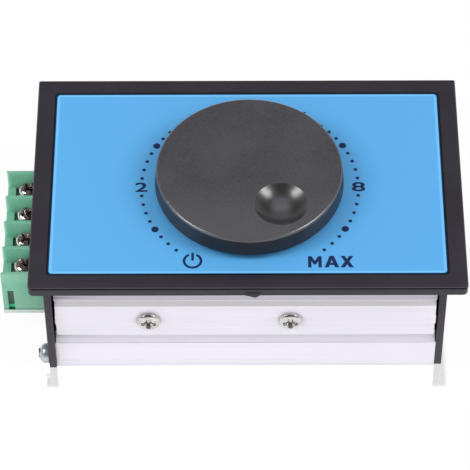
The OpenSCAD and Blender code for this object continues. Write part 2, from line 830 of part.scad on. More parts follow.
module terminal_contacts() {
    front_x = block_x + block_lip_t + loose_gap - clamp_x;
    leg_x = block_x + block_d - block_back_t - leg_gap - clamp_x;
    half_w = cell_w / 2 - loose_gap;
    color("silver") at_cells() difference() {
        union() {
            box_at([front_x, -half_w, cell_floor_z], [leg_x + contact_t / 2, half_w, contact_z]);
            box_at([leg_x - contact_t / 2, -pin_w, ledge_h - pin_drop], [leg_x + contact_t / 2, pin_w, contact_z]);
        }
        translate([0, 0, cell_floor_z - overrun]) cylinder(r = clamp_screw_r + run_gap, h = block_h);
    }
}

module clamp_plate(share) {
    half_w = cell_w / 2 - 2 * loose_gap;
    color("gainsboro") translate([clamp_x, share * terminal_pitch - block_shift, contact_z]) difference() {
        box_at([-clamp_l / 2, -half_w, 0], [clamp_l / 2, half_w, clamp_t]);
        translate([0, 0, -overrun]) cylinder(r = clamp_screw_r + run_gap, h = clamp_t + 2 * overrun);
    }
}

module clamp_screw(share) {
    color("silver") translate([clamp_x, share * terminal_pitch - block_shift, clamp_z])
        cross_screw(clamp_screw_r, clamp_screw_l, clamp_head_d / 2, clamp_head_h, crown_share = 0.2);
}

// Small parts on the board

module at_board(shares) {
    for (share = shares)
        translate([share.x * board_w / 2, share.y * board_d / 2, board_top]) children();
}

module capacitor_cans() {
    color("gainsboro") at_board(capacitor_shares) cylinder(r = capacitor_d / 2 - sleeve_skin, h = capacitor_h);
}

module capacitor_sleeves() {
    lip = 2 * sleeve_skin;
    color("#20242c") at_board(capacitor_shares) difference() {
        cylinder(r = capacitor_d / 2, h = capacitor_h - lip);
        translate([0, 0, -overrun]) cylinder(r = capacitor_d / 2 - sleeve_skin, h = capacitor_h + overrun);
    }
}

module film_capacitor() {
    color("#b8352c") at_board(film_shares) translate([-film_size.x / 2, -film_size.y / 2, 0]) cube(film_size);
}

module control_chip() {
    color("#1f1f21") at_board(chip_shares)
        translate([-chip_size.x / 2, -chip_size.y / 2, chip_lift]) cube(chip_size);
}

module at_chip_pins() {
    for (y = sides, i = [0 : chip_pin_count - 1])
        translate([(i - (chip_pin_count - 1) / 2) * device_pitch, y * (chip_size.y + lead_d) / 2, 0]) children();
}

module chip_pins() {
    color("silver") at_board(chip_shares) at_chip_pins()
        translate([-lead_d / 2, -lead_d / 2, -board_t - joint_h])
            cube([lead_d, lead_d, board_t + joint_h + chip_lift + chip_size.z / 2]);
}

module regulator() {
    color("#1f1f21") at_board(regulator_shares) translate([0, 0, regulator_lift]) intersection() {
        cylinder(r = regulator_r, h = regulator_h);
        translate([-regulator_r, -regulator_r / 2, 0]) cube([2 * regulator_r, 2 * regulator_r, regulator_h]);
    }
}

module small_capacitors() {
    color("#243a6b") at_board(small_capacitor_shares) cylinder(r = small_capacitor_r, h = small_capacitor_h);
}

module ceramic_capacitors() {
    color("#c98c3a") at_board(ceramic_shares) translate([0, 0, ceramic_lift + ceramic_r])
        rotate([90, 0, 0]) cylinder(r = ceramic_r, h = ceramic_t, center = true);
}

module at_pair(span) {
    for (x = sides) translate([x * span / 2, 0, 0]) children();
}

module at_trio(pitch) {
    for (i = [-1 : 1]) translate([i * pitch, 0, 0]) children();
}

module resistors() {
    color("#d9c59a") at_board(resistor_shares) translate([-resistor_l / 2, 0, resistor_lift + resistor_r])
        rotate([0, 90, 0]) tube(resistor_r, lead_d / 2 + fit_gap, resistor_l);
}

// A quarter turn of round wire, from straight up at the origin to level along +X
module elbow(bend, r) {
    translate([bend, 0, 0]) rotate([90, 0, 0]) rotate(90)
        rotate_extrude(angle = 90) translate([bend, 0]) circle(r);
}

// A round wire bent twice: up from the board, over and down again
module bent_link(span, height, r, bend) {
    foot_h = height - bend;
    for (turn = [0, 180]) rotate(turn) translate([-span / 2, 0, 0]) {
        translate([0, 0, -board_t - joint_h]) cylinder(r = r, h = foot_h + board_t + joint_h);
        translate([0, 0, foot_h]) elbow(bend, r);
    }
    translate([0, 0, height]) rotate([0, 90, 0]) cylinder(r = r, h = span - 2 * bend, center = true);
}

module component_leads() {
    r = lead_d / 2;
    bend = resistor_lift + resistor_r;
    color("silver") {
        at_board(resistor_shares) bent_link(resistor_span, bend, r, bend);
        at_board(ceramic_shares) at_pair(2 * ceramic_lead_x) translate([0, 0, -board_t - joint_h])
            cylinder(r = r, h = board_t + joint_h + ceramic_lead_h);
        at_board(regulator_shares) at_trio(device_pitch / 2) translate([0, 0, -board_t - joint_h])
            cylinder(r = r, h = board_t + joint_h + regulator_lift);
    }
}

module wire_links() {
    color("silver") at_board(link_shares) bent_link(link_span, link_h, lead_d, 2 * lead_d);
}

// Each connector is given by the lugs that it serves: where it stands, its turn and its ways
pot_plug_y = axis_y - pot_r - lug_reach - plug_gap;
switch_plug_x = axis_x + pot_r + lug_reach + plug_gap;

module at_connectors() {
    translate([axis_x, pot_plug_y, board_top]) { $ways = 3; children(); }
    translate([switch_plug_x, axis_y, board_top]) rotate(90) { $ways = 2; children(); }
}

module board_headers() {
    color("ivory") at_connectors() {
        header_w = ($ways - 1) * header_pitch + 2 * header_end;
        difference() {
            translate([-header_w / 2, -header_t / 2, 0]) cube([header_w, header_t, header_h]);
            at_ways() pin_hole(lead_d, lead_d);
            translate([-header_w / 2 + header_wall, -header_t / 2 + header_wall, header_wall])
                cube([header_w - 2 * header_wall, header_t - 2 * header_wall, header_h]);
        }
    }
}

module at_ways() {
    for (i = [0 : $ways - 1]) translate([(i - ($ways - 1) / 2) * header_pitch, 0, 0]) children();
}

module header_pins() {
    color("silver") at_connectors() at_ways() translate([-lead_d / 2, -lead_d / 2, -board_t - joint_h])
        cube([lead_d, lead_d, board_t + joint_h + header_h - header_wall]);
}

module wire_plugs() {
    color("white") at_connectors() {
        plug_w = ($ways - 1) * header_pitch + 2 * (header_end - header_wall - loose_gap);
        plug_t = header_t - 2 * (header_wall + loose_gap);
        difference() {
            translate([-plug_w / 2, -plug_t / 2, header_wall]) cube([plug_w, plug_t, plug_h - header_wall]);
            at_ways() translate([-lead_d / 2 - fit_gap, -lead_d / 2 - fit_gap, 0])
                cube([lead_d + 2 * fit_gap, lead_d + 2 * fit_gap, header_h]);
        }
    }
}

// A wire from a plug's top up to a lug's level, then level to the lug's tip
module lug_wire(from, to) {
    run = to - from;
    reach = norm([run.x, run.y]);
    translate(from) rotate(atan2(run.y, run.x)) {
        cylinder(r = wire_d / 2, h = run.z - wire_bend);
        translate([0, 0, run.z - wire_bend]) elbow(wire_bend, wire_d / 2);
        translate([wire_bend, 0, run.z]) rotate([0, 90, 0])
            cylinder(r = wire_d / 2, h = reach - wire_bend);
    }
}

module pot_wires() {
    color("firebrick") {
        for (i = [-1 : 1]) lug_wire([axis_x + i * header_pitch, pot_plug_y, board_top + plug_h],
            [axis_x + i * lug_pitch, axis_y - pot_r - lug_reach + wire_d, track_z - lug_t - wire_d / 2]);
        for (y = sides) lug_wire([switch_plug_x, axis_y + y * header_pitch / 2, board_top + plug_h],
            [axis_x + pot_r + lug_reach - wire_d, axis_y + y * lug_pitch / 2, switch_lug_z - wire_d / 2]);
    }
}

module solder_joints() {
    color("lightsteelblue") at_devices() at_trio(device_pitch)
        translate([0, lead_foot_y + device_lead_t / 2, ledge_h - joint_h]) difference() {
            cylinder(r1 = joint_tip_share * joint_r, r2 = joint_r, h = joint_h);
            translate([0, 0, joint_h]) pin_hole(device_lead_w, device_lead_t);
        }
}

front_panel();
face_label();
speed_knob();
knob_sleeve();
pot_shaft();
pot_wiper();
pot_bushing();
pot_nut();
pot_washer();
pot_track();
pot_lugs();
pot_can();
pot_switch();
switch_lugs();
channel();
left_end_plate();
right_end_plate();
left_plate_screws();
right_plate_screws();
device_screws();
device_nuts();
insulating_pads();
device_tabs();
device_bodies();
circuit_board();
terminal_housing();
terminal_contacts();
clamp_plate(cell_shares[0]);  // clamp_plate_1
clamp_plate(cell_shares[1]);  // clamp_plate_2
clamp_plate(cell_shares[2]);  // clamp_plate_3
clamp_plate(cell_shares[3]);  // clamp_plate_4
clamp_screw(cell_shares[0]);  // clamp_screw_1
clamp_screw(cell_shares[1]);  // clamp_screw_2
clamp_screw(cell_shares[2]);  // clamp_screw_3
clamp_screw(cell_shares[3]);  // clamp_screw_4
capacitor_cans();
capacitor_sleeves();
film_capacitor();
control_chip();
chip_pins();
regulator();
small_capacitors();
ceramic_capacitors();
resistors();
component_leads();
wire_links();
board_headers();
header_pins();
wire_plugs();
pot_wires();
solder_joints();
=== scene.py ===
import math

import bpy
from mathutils import Matrix, Vector


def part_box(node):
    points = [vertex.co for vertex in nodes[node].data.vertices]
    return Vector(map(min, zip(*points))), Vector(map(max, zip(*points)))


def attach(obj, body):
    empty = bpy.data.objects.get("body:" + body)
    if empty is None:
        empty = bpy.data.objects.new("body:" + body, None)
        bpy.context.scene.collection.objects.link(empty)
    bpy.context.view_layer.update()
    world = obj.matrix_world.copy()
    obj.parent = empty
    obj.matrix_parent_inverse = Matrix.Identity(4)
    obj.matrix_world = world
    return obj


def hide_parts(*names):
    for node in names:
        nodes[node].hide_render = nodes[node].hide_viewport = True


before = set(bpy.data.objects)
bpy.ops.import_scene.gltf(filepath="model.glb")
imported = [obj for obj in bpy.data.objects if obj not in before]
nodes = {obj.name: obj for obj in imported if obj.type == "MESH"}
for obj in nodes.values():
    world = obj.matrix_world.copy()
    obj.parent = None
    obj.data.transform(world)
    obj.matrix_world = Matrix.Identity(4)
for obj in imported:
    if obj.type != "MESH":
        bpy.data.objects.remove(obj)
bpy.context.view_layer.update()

MM = 0.001
LABEL_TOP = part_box("face_label")[1].z / MM
CHANNEL_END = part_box("channel")[1].x
PLATE_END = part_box("left_end_plate")[0].x / MM
# Height of the channel's raised pads, and how far the neck above them is set back, both in metres
PAD_TOP = 0.0285
NECK_SETBACK = 0.0012

bpy.ops.object.select_all(action="DESELECT")
bpy.context.view_layer.objects.active = None


# Camera, light and floor

def place_camera():
    """The camera that took the photograph, fitted to the panel, label, dial and knob."""
    bpy.ops.object.camera_add()
    camera = bpy.context.object
    camera.name = "photo_camera"
    camera.data.sensor_width = 36
    camera.data.sensor_fit = "HORIZONTAL"
    camera.data.lens = 211.711
    camera.data.clip_start = 0.05
    camera.data.clip_end = 20
    turn = Matrix.Rotation(math.radians(0.155), 4, "Z")
    tilt = Matrix.Rotation(math.radians(38.8621), 4, "X")
    roll = Matrix.Rotation(math.radians(-0.263), 4, "Z")
    spot = Matrix.Translation((-0.0015455, -0.5097989, 0.6504523))
    camera.matrix_world = spot @ turn @ tilt @ roll
    bpy.context.scene.camera = camera
    camera.select_set(False)


class Field:
    """A value, colour or direction that varies over a surface. Sums of fields add their nodes."""

    def __init__(self, finish, socket):
        self.finish = finish
        self.socket = socket

    def math(self, operation, *others, clamp=False):
        values = dict(enumerate((self,) + others))
        return self.finish.node("ShaderNodeMath", {"operation": operation, "use_clamp": clamp}, values)

    def reflected(self, operation, other):
        return self.finish.node("ShaderNodeMath", {"operation": operation}, {0: other, 1: self})

    def __add__(self, other):
        return self.math("ADD", other)

    def __sub__(self, other):
        return self.math("SUBTRACT", other)

    def __mul__(self, other):
        return self.math("MULTIPLY", other)

    def __truediv__(self, other):
        return self.math("DIVIDE", other)

    def __rsub__(self, other):
        return self.reflected("SUBTRACT", other)

    def __rtruediv__(self, other):
        return self.reflected("DIVIDE", other)

    def __abs__(self):
        return self.math("ABSOLUTE")

    __radd__ = __add__
    __rmul__ = __mul__

    def either(self, other):
        return self.math("MAXIMUM", other)

    def both(self, other):
        return self.math("MINIMUM", other)

    def wave(self, length):
        """A wave from 0 to 1 that comes back every length."""
        return (self * (2 * math.pi / length)).math("SINE") * 0.5 + 0.5

    def rise(self, low, high):
        """0 below low, 1 above high and a smooth rise between them."""
        ends = {"Value": self, "From Min": low, "From Max": high}
        return self.finish.node("ShaderNodeMapRange", {"interpolation_type": "SMOOTHSTEP"}, ends)

    def band(self, low, full, fall, high):
        """1 between full and fall, and 0 outside low and high."""
        return self.rise(low, full) * (1 - self.rise(fall, high))

    def level(self, low, high, new_low, new_high):
        """The value, carried from one range to another."""
        ends = {"Value": self, "From Min": low, "From Max": high, "To Min": new_low, "To Max": new_high}
        return self.finish.node("ShaderNodeMapRange", {}, ends)


class Finish:
    """A material under construction, on the object's own coordinates in metres."""

    def __init__(self, name, **constants):
        self.material = bpy.data.materials.new(name)
        self.material.use_nodes = True
        self.tree = self.material.node_tree
        self.surface = self.tree.nodes["Principled BSDF"]
        self.place = self.node("ShaderNodeTexCoord", {}, {}, output="Object")
        for socket, value in constants.items():
            self.surface.inputs[socket.replace("_", " ")].default_value = value

    def node(self, kind, settings, values, output=0):
        """Adds one node: its settings first, then the values or links of its sockets."""
        made = self.tree.nodes.new(kind)
        for key, value in settings.items():
            setattr(made, key, value)
        for key, value in values.items():
            if isinstance(value, Field):
                self.tree.links.new(value.socket, made.inputs[key])
            else:
                made.inputs[key].default_value = value
        return Field(self, made.outputs[output])

    def axes(self):
        """The place's X, Y and Z in metres."""
        split = self.node("ShaderNodeSeparateXYZ", {}, {0: self.place}).socket.node
        return [Field(self, socket) for socket in split.outputs]

    def away_from(self, spot):
        """Distance in plan from an upright line through a spot."""
        x, y, _ = self.axes()
        return ((x - spot.x) * (x - spot.x) + (y - spot.y) * (y - spot.y)).math("SQRT")

    def stretched(self, x, y, z):
        """The object's coordinates, scaled unevenly for brushed or drawn grain."""
        return self.node("ShaderNodeVectorMath", {"operation": "MULTIPLY"}, {0: self.place, 1: (x, y, z)})

    def grain(self, size, detail=2.0, rough=0.5, along=None, seed=0.0):
        """Cloudy noise from 0 to 1 whose lumps are about size metres across."""
        values = {"Vector": along or self.place, "Scale": 1 / size, "Detail": detail, "Roughness": rough,
                  "W": seed}
        return self.node("ShaderNodeTexNoise", {"noise_dimensions": "4D"}, values)

    def cells(self, size, feature="F1", uneven=1.0):
        """Distance from the middles or the borders of cells about size metres across."""
        values = {"Vector": self.place, "Scale": 1 / size, "Randomness": uneven}
        return self.node("ShaderNodeTexVoronoi", {"feature": feature}, values)

    def blend(self, mask, low, high):
        """A colour between two others, by a mask."""
        return self.node("ShaderNodeMix", {"data_type": "RGBA"}, {0: mask, 6: low, 7: high}, output=2)

    def edge_wear(self, radius, low=0.02, high=0.25):
        """1 along sharp edges and 0 on flats: how far an edge of that radius would turn the surface."""
        rounded = self.node("ShaderNodeBevel", {"samples": 4}, {"Radius": radius})
        flat = self.node("ShaderNodeNewGeometry", {}, {}, output="Normal")
        facing = self.node("ShaderNodeVectorMath", {"operation": "DOT_PRODUCT"}, {0: rounded, 1: flat},
                           output="Value")
        return (1 - facing).rise(low, high)

    def grime(self, reach, own=True):
        """1 deep in corners and recesses narrower than about reach, 0 in the open: where shade falls, for
        painting shade into hollows.
        """
        settings = {"samples": 6, "only_local": own}
        open_share = self.node("ShaderNodeAmbientOcclusion", settings, {"Distance": reach}, output="AO")
        return 1 - open_share.rise(0.35, 0.9)

    def bump(self, height, depth, under=None, strength=1.0):
        """The surface's direction, by a height from 0 to 1 that stands for depth metres."""
        values = {"Height": height, "Distance": depth, "Strength": strength}
        if under:
            values["Normal"] = under
        return self.node("ShaderNodeBump", {}, values)

    def wire(self, **fields):
        """Links fields to the surface's own sockets, and gives the finished material."""
        for socket, field in fields.items():
            self.tree.links.new(field.socket, self.surface.inputs[socket.replace("_", " ")])
        return self.material


def shade(red, green, blue):
    """A colour as a picture shows it, from 0 to 255, as the light that it reflects."""
    parts = [part / 255 for part in (red, green, blue)]
    return tuple(part / 12.92 if part < 0.04 else ((part + 0.055) / 1.055) ** 2.4 for part in parts) + (1.0,)


class Room(Finish):
    """The light from all round, by direction, put together in the same way."""

    def __init__(self, name):
        self.material = bpy.data.worlds.new(name)
        self.material.use_nodes = True
        self.tree = self.material.node_tree
        self.surface = self.tree.nodes["Background"]
        self.surface.inputs["Color"].default_value = (1, 1, 1, 1)
        self.place = self.node("ShaderNodeTexCoord", {}, {}, output="Generated")


def rays(finish, *kinds):
    """1 for rays of those kinds and 0 for all others."""
    path = finish.node("ShaderNodeLightPath", {}, {}).socket.node
    found = [Field(finish, path.outputs[f"Is {kind} Ray"]) for kind in kinds]
    for other in found[1:]:
        found[0] = found[0].either(other)
    return found[0]


def light_room(sky=0.50, front=0.40, lamp=4.4):
    """A white backdrop under a dark ceiling, as metal shows it, with two soft boxes and even light."""
    room = Room("studio")
    _, y, z = room.axes()
    backdrop = (1 - z.rise(0.25, 0.6)) * y.rise(-0.45, 0.1) * 0.42
    table_side = (1 - z.rise(0.05, 0.45)) * 0.6
    rear_lamp = z.band(0.68, 0.74, 0.84, 0.9) * y.rise(0.3, 0.5) * 0.26
    mirrored = backdrop.either(table_side).either(rear_lamp).level(0.0, 1.0, 0.10, 1.0)
    seen = rays(room, "Glossy", "Transmission")
    from_front = (1 - y.rise(-0.7, 0.1)) * front
    strength = seen * mirrored + (1 - seen) * (from_front + sky)
    strength = strength.either(rays(room, "Camera"))
    room.wire(Strength=strength)
    bpy.context.scene.world = room.material

    for name, side in (("left_box", -1), ("right_box", 1)):
        bpy.ops.object.light_add(type="AREA", location=(side * 0.70, -0.16, 0.78))
        box = bpy.context.object
        box.name = name
        box.data.shape = "RECTANGLE"
        box.data.size = 0.34
        box.data.size_y = 0.5
        box.data.energy = lamp
        aim = Vector((0, 0, 0.03)) - box.location
        box.rotation_euler = aim.to_track_quat("-Z", "Y").to_euler()
        box.select_set(False)


def lay_floor():
    """A white table top that keeps a faint shadow and a faint mirror image."""
    bpy.ops.mesh.primitive_circle_add(vertices=64, radius=4, fill_type="NGON", location=(0, 0, -0.0001))
    floor = bpy.context.object
    floor.name = "floor"
    finish = Finish("table_top", Roughness=0.6, Specular_IOR_Level=0.0)
    cloud = finish.grain(0.4)
    finish.wire(Base_Color=finish.blend(cloud, (0.93, 0.93, 0.93, 1), (0.95, 0.95, 0.95, 1)))
    glow = finish.node("ShaderNodeEmission", {}, {})
    mirror = finish.node("ShaderNodeBsdfGlossy", {}, {"Color": (4.6, 4.6, 4.6, 1), "Roughness": 0.04})
    lit = Field(finish, finish.surface.outputs[0])
    seen = rays(finish, "Camera", "Glossy", "Transmission")
    white = finish.node("ShaderNodeMixShader", {}, {0: seen * 0.95, 1: lit, 2: glow})
    x, y, _ = finish.axes()
    case_half_x = 0.057
    case_half_y = 0.035
    beside = (abs(x) - case_half_x).rise(0.0003, 0.0018)
    beyond = (abs(y) - case_half_y).rise(0.006, 0.0075)
    polish = (1 - beside.either(beyond)) * 0.32
    top = finish.node("ShaderNodeMixShader", {}, {0: rays(finish, "Camera") * polish, 1: white, 2: mirror})
    finish.tree.links.new(top.socket, finish.tree.nodes["Material Output"].inputs["Surface"])
    floor.data.materials.append(finish.material)
    floor.select_set(False)


# Finishes of the case

def moulded_plastic(name, dark, light, roughness, speck=0.00025, depth=0.00001, worn=None, gap_shade=None, rim=None,
                    **constants):
    """Satin moulded plastic: spark-eroded texture and rubbed edges, with painted shade in gaps against other
    parts and, at height rim, a painted shade line in the groove, a painted darker band below it and
    near-black painted shade on the part lower than about 2 mm under the groove.
    """
    finish = Finish(name, **constants)
    fine = finish.grain(speck, detail=3)
    broad = finish.grain(0.02, detail=2, seed=3)
    colour = finish.blend((fine * 0.5 + broad * 0.5).rise(0.3, 0.7), dark, light)
    gloss = finish.grain(0.006, detail=3, seed=7).level(0.3, 0.7, roughness - 0.04, roughness + 0.04)
    if worn:
        rubbed = finish.edge_wear(0.0003) * finish.grain(0.003, detail=4, seed=11).rise(0.42, 0.62)
        colour = finish.blend(rubbed * 0.4, colour, worn)
        gloss = gloss - rubbed * 0.08
    if gap_shade:
        # Painted shade: near black where the surface faces another part across a narrow gap
        colour = finish.blend(finish.grime(gap_shade, own=False), colour, shade(3, 2, 5))
    if rim:
        height = finish.axes()[2]
        # Painted shade: a darker band below the groove, a near-black line in the groove, and near black on
        # the lowest part of the rim
        colour = finish.blend((1 - height.rise(rim, rim + 0.0001)) * 0.3, colour, shade(8, 8, 10))
        groove_shade = 1 - abs(height - rim).rise(0.0002, 0.0004)
        low = 1 - height.rise(rim - 0.0023, rim - 0.0017)
        colour = finish.blend(groove_shade.either(low), colour, shade(4, 4, 6))
    return finish.wire(Base_Color=colour, Roughness=gloss, Normal=finish.bump(fine, depth))


def terminal_green():
    """Translucent green plastic, with painted shade in its hollows and down in its end slot, a painted lit
    floor in the slot, a painted lighter top on its end wall and a painted deep-green shade along its foot.
    """
    finish = Finish("green_plastic", Subsurface_Weight=0.15, Subsurface_Scale=0.001)
    x, y, z = finish.axes()
    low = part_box("terminal_housing")[0]
    fine = finish.grain(0.0005, detail=3)
    broad = finish.grain(0.012, detail=3, seed=3)
    cloud = (fine * 0.4 + broad * 0.6).rise(0.3, 0.7)
    colour = finish.blend(cloud, shade(116, 188, 157), shade(134, 204, 174))
    rubbed = finish.edge_wear(0.0003) * finish.grain(0.002, detail=3, seed=11).rise(0.3, 0.5)
    colour = finish.blend(rubbed * 0.6, colour, shade(188, 228, 210))
    end = 1 - y.rise(low.y + 0.0018, low.y + 0.0024)
    # Painted shade in corners and hollows, strongest in the end wall
    deep_shade = (finish.grime(0.0028) * (end * 1.3 + 0.32)).both(0.92)
    slot_x = low.x + 0.00235
    slot_top = low.z + 0.0088
    recess = y.band(low.y + 0.0005, low.y + 0.0008, low.y + 0.0012, low.y + 0.0014)
    recess = recess * (1 - abs(x - slot_x).rise(0.0011, 0.0013))
    recess = recess * (1 - z.rise(slot_top - 0.0002, slot_top + 0.0002))
    colour = finish.blend(deep_shade * (1 - recess), colour, shade(16, 78, 52))
    # Painted shade on the end slot's back, and a painted pool of light on its floor
    lit_slot_floor = 1 - z.rise(low.z + 0.0012, low.z + 0.0018)
    slot_shade_and_light = finish.blend(lit_slot_floor, shade(0, 78, 54), shade(84, 236, 176))
    colour = finish.blend(recess, colour, slot_shade_and_light)
    # Painted light: the top of the end wall made lighter
    colour = finish.blend(end * z.rise(0.019, 0.024) * 0.3, colour, shade(166, 212, 194))
    # Painted shade: deep green along the foot of the housing
    foot = 1 - z.rise(low.z + 0.0004, low.z + 0.0008)
    colour = finish.blend(foot * (1 - recess) * 0.8, colour, shade(24, 134, 90))
    gloss = finish.grain(0.006, detail=3, seed=7).level(0.3, 0.7, 0.28, 0.38)
    return finish.wire(Base_Color=colour, Roughness=gloss, Normal=finish.bump(fine, 0.000004))


def drawn_metal(name, dark, light, roughness, stretch, depth=0.000004, hidden_shade=None):
    """Metal with fine lines that run one way, with green-tinted painted shade where it lies deep in a
    housing.
    """
    finish = Finish(name, Metallic=1.0)
    lines = finish.grain(1.0, detail=3, along=finish.stretched(*stretch))
    cloud = finish.grain(0.012, detail=2, seed=5)
    tone = (lines * 0.6 + cloud * 0.4).rise(0.3, 0.7)
    gloss = lines.level(0.3, 0.7, roughness - 0.05, roughness + 0.05)
    colour = finish.blend(tone, shade(*dark), shade(*light))
    if hidden_shade:
        # Painted shade, tinted green, where the metal sits deep among other parts
        colour = finish.blend(finish.grime(hidden_shade, own=False) * 0.9, colour, shade(12, 46, 34))
    return finish.wire(Base_Color=colour, Roughness=gloss, Normal=finish.bump(lines, depth))


def extruded_aluminium():
    """Bare extrusion: die lines along its length and cloudy oxide; painted shade on the recessed neck and in
    corners below the pads, a painted lit shoulder, painted reflections of the dark end plate near its left
    end, and white edges that are partly burrs and partly painted highlight.
    """
    finish = Finish("extrusion", Metallic=0.35, IOR=1.6)
    x, _, z = finish.axes()
    fine = finish.grain(1.0, detail=2, along=finish.stretched(12, 3500, 3500))
    bands = finish.grain(1.0, detail=3, along=finish.stretched(2, 420, 420), seed=2)
    cloud = finish.grain(0.02, detail=3, along=finish.stretched(0.4, 1, 1), seed=5)
    tone = (fine * 0.3 + bands * 0.4 + cloud * 0.3).rise(0.3, 0.7)
    colour = finish.blend(tone, shade(229, 226, 236), shade(243, 240, 249))
    # Painted shade: the neck under the panel's overhang made darker
    neck_foot = PAD_TOP + NECK_SETBACK
    neck_shade = z.rise(neck_foot - 0.0001, neck_foot + 0.0003)
    colour = finish.blend(neck_shade, colour, finish.blend(tone, shade(188, 184, 197), shade(208, 205, 216)))
    # Painted light: the shoulder on top of the pad made almost white
    lit_shoulder = z.rise(PAD_TOP - 0.0001, PAD_TOP + 0.0001) * (1 - neck_shade)
    colour = finish.blend(lit_shoulder, colour, shade(251, 249, 255))
    # Painted reflection of the dark end plate: a streak on the neck near the left end
    far_left = 1 - (x + cloud * 0.02).rise(-0.048, -0.026)
    plate_reflection_streak = far_left * z.band(0.0304, 0.0308, 0.0314, 0.0320)
    colour = finish.blend(plate_reflection_streak * 0.75, colour, shade(110, 104, 116))
    # Painted reflection of the dark end plate: a smear in the groove near the left end
    left_end = 1 - (x + cloud * 0.004).rise(-0.055, -0.038)
    plate_reflection_smear = left_end * z.band(0.0125, 0.0145, 0.0152, 0.0155)
    # Painted shade in corners below the pad tops, mixed into the smear's colour
    deep_shade = finish.grime(0.001) * (1 - z.rise(0.026, 0.028))
    colour = finish.blend(plate_reflection_smear * 0.7 + deep_shade * 0.3, colour, shade(96, 98, 106))
    # White along sharp edges: partly burrs, partly a painted highlight
    burr_and_highlight = finish.edge_wear(0.00035, 0.01, 0.12) * finish.grain(0.0012, detail=2, seed=9).rise(0.2, 0.4)
    colour = finish.blend(burr_and_highlight, colour, shade(255, 255, 255))
    gloss = (fine * 0.5 + cloud * 0.5).level(0.3, 0.7, 0.42, 0.54)
    height = fine * 0.6 + bands * 0.4
    return finish.wire(Base_Color=colour, Roughness=gloss, Normal=finish.bump(height, 0.000005))


def satin_knob():
    """The knob's satin top with its scooped dimple, and its darker side that lacks the top's sheen. Painted
    on: a lighter front on the top, shade round the dimple's walls, a highlight in the dimple's middle, and
    shade deepening down the side towards the front.
    """
    finish = Finish("knob_plastic", Coat_IOR=1.8, Coat_Roughness=0.27)
    x, y, z = finish.axes()
    low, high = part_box("speed_knob")
    middle = (low + high) / 2
    dimple = Vector((0.01013, -0.01491))
    dimple_glow = Vector((0.01013, -0.0129))
    away = finish.away_from(middle)
    outer = high.x - middle.x
    side = (1 - z.rise(high.z - 0.0009, high.z - 0.0004)) * away.rise(outer - 0.0011, outer - 0.0008)
    fine = finish.grain(0.0005, detail=4, rough=0.65)
    broad = finish.grain(0.012, detail=2, seed=3)
    top = finish.blend((fine * 0.7 + broad * 0.3).rise(0.32, 0.68), shade(42, 40, 46), shade(66, 64, 71))
    # Painted sheen: the front of the top made lighter
    front_sheen = 1 - (y + broad * 0.006).rise(-0.026, 0.0)
    top = finish.blend(front_sheen * 0.5, top, shade(84, 82, 90))
    # Painted shade round the dimple's walls, and a painted highlight in its middle
    dimple_highlight = 1 - finish.away_from(dimple_glow).rise(0.001, 0.0036)
    ring = finish.away_from(dimple).band(0.0015, 0.0045, 0.0073, 0.0079)
    top = finish.blend(ring * 0.9, top, shade(16, 15, 18))
    top = finish.blend(dimple_highlight * 0.6, top, shade(94, 92, 101))
    # Painted shade: the side darker towards the front
    front = 1 - (abs(x - middle.x) * 0.8 + y).rise(-0.020, -0.004)
    colour = finish.blend(side * 0.9, top, finish.blend(front, shade(40, 38, 42), shade(10, 9, 12)))
    gloss = (fine * 0.4 + broad * 0.6).level(0.3, 0.7, 0.38, 0.46)
    return finish.wire(Base_Color=colour, Roughness=gloss, Coat_Weight=1 - side - ring * 0.12,
                       Normal=finish.bump(fine, 0.000009))


def label_film():
    """Satin printed film: plain blue, with painted shade along its edge where it sits in its recess, and a
    light line just inside it.
    """
    finish = Finish("label_film", Specular_IOR_Level=0.35)
    low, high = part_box("face_label")
    middle = (low + high) / 2
    x, y, _ = finish.axes()
    corner = 0.0014
    beyond_x = abs(x - middle.x) - (high.x - middle.x - corner)
    beyond_y = abs(y - middle.y) - (high.y - middle.y - corner)
    round_x = beyond_x.either(0.0)
    round_y = beyond_y.either(0.0)
    reach = (round_x * round_x + round_y * round_y).math("SQRT") + beyond_x.either(beyond_y).both(0.0)
    inside = corner - reach
    weave = finish.grain(0.0002, detail=2)
    cloud = finish.grain(0.03, detail=2, seed=3)
    side = (x + cloud * 0.02).rise(-0.05, 0.07)
    colour = finish.blend(side, shade(88, 167, 224), shade(87, 165, 224))
    line = inside.band(0.00042, 0.0006, 0.0009, 0.0014)
    colour = finish.blend(line * 0.5, colour, shade(128, 205, 250))
    # Painted shade: dark navy along the film's edge, where the recess's gap falls in shade
    colour = finish.blend(1 - inside.rise(0.00030, 0.00046), colour, shade(4, 34, 64))
    gloss = (weave * 0.5 + cloud * 0.5).level(0.3, 0.7, 0.38, 0.46)
    return finish.wire(Base_Color=colour, Roughness=gloss, Normal=finish.bump(weave, 0.000002))


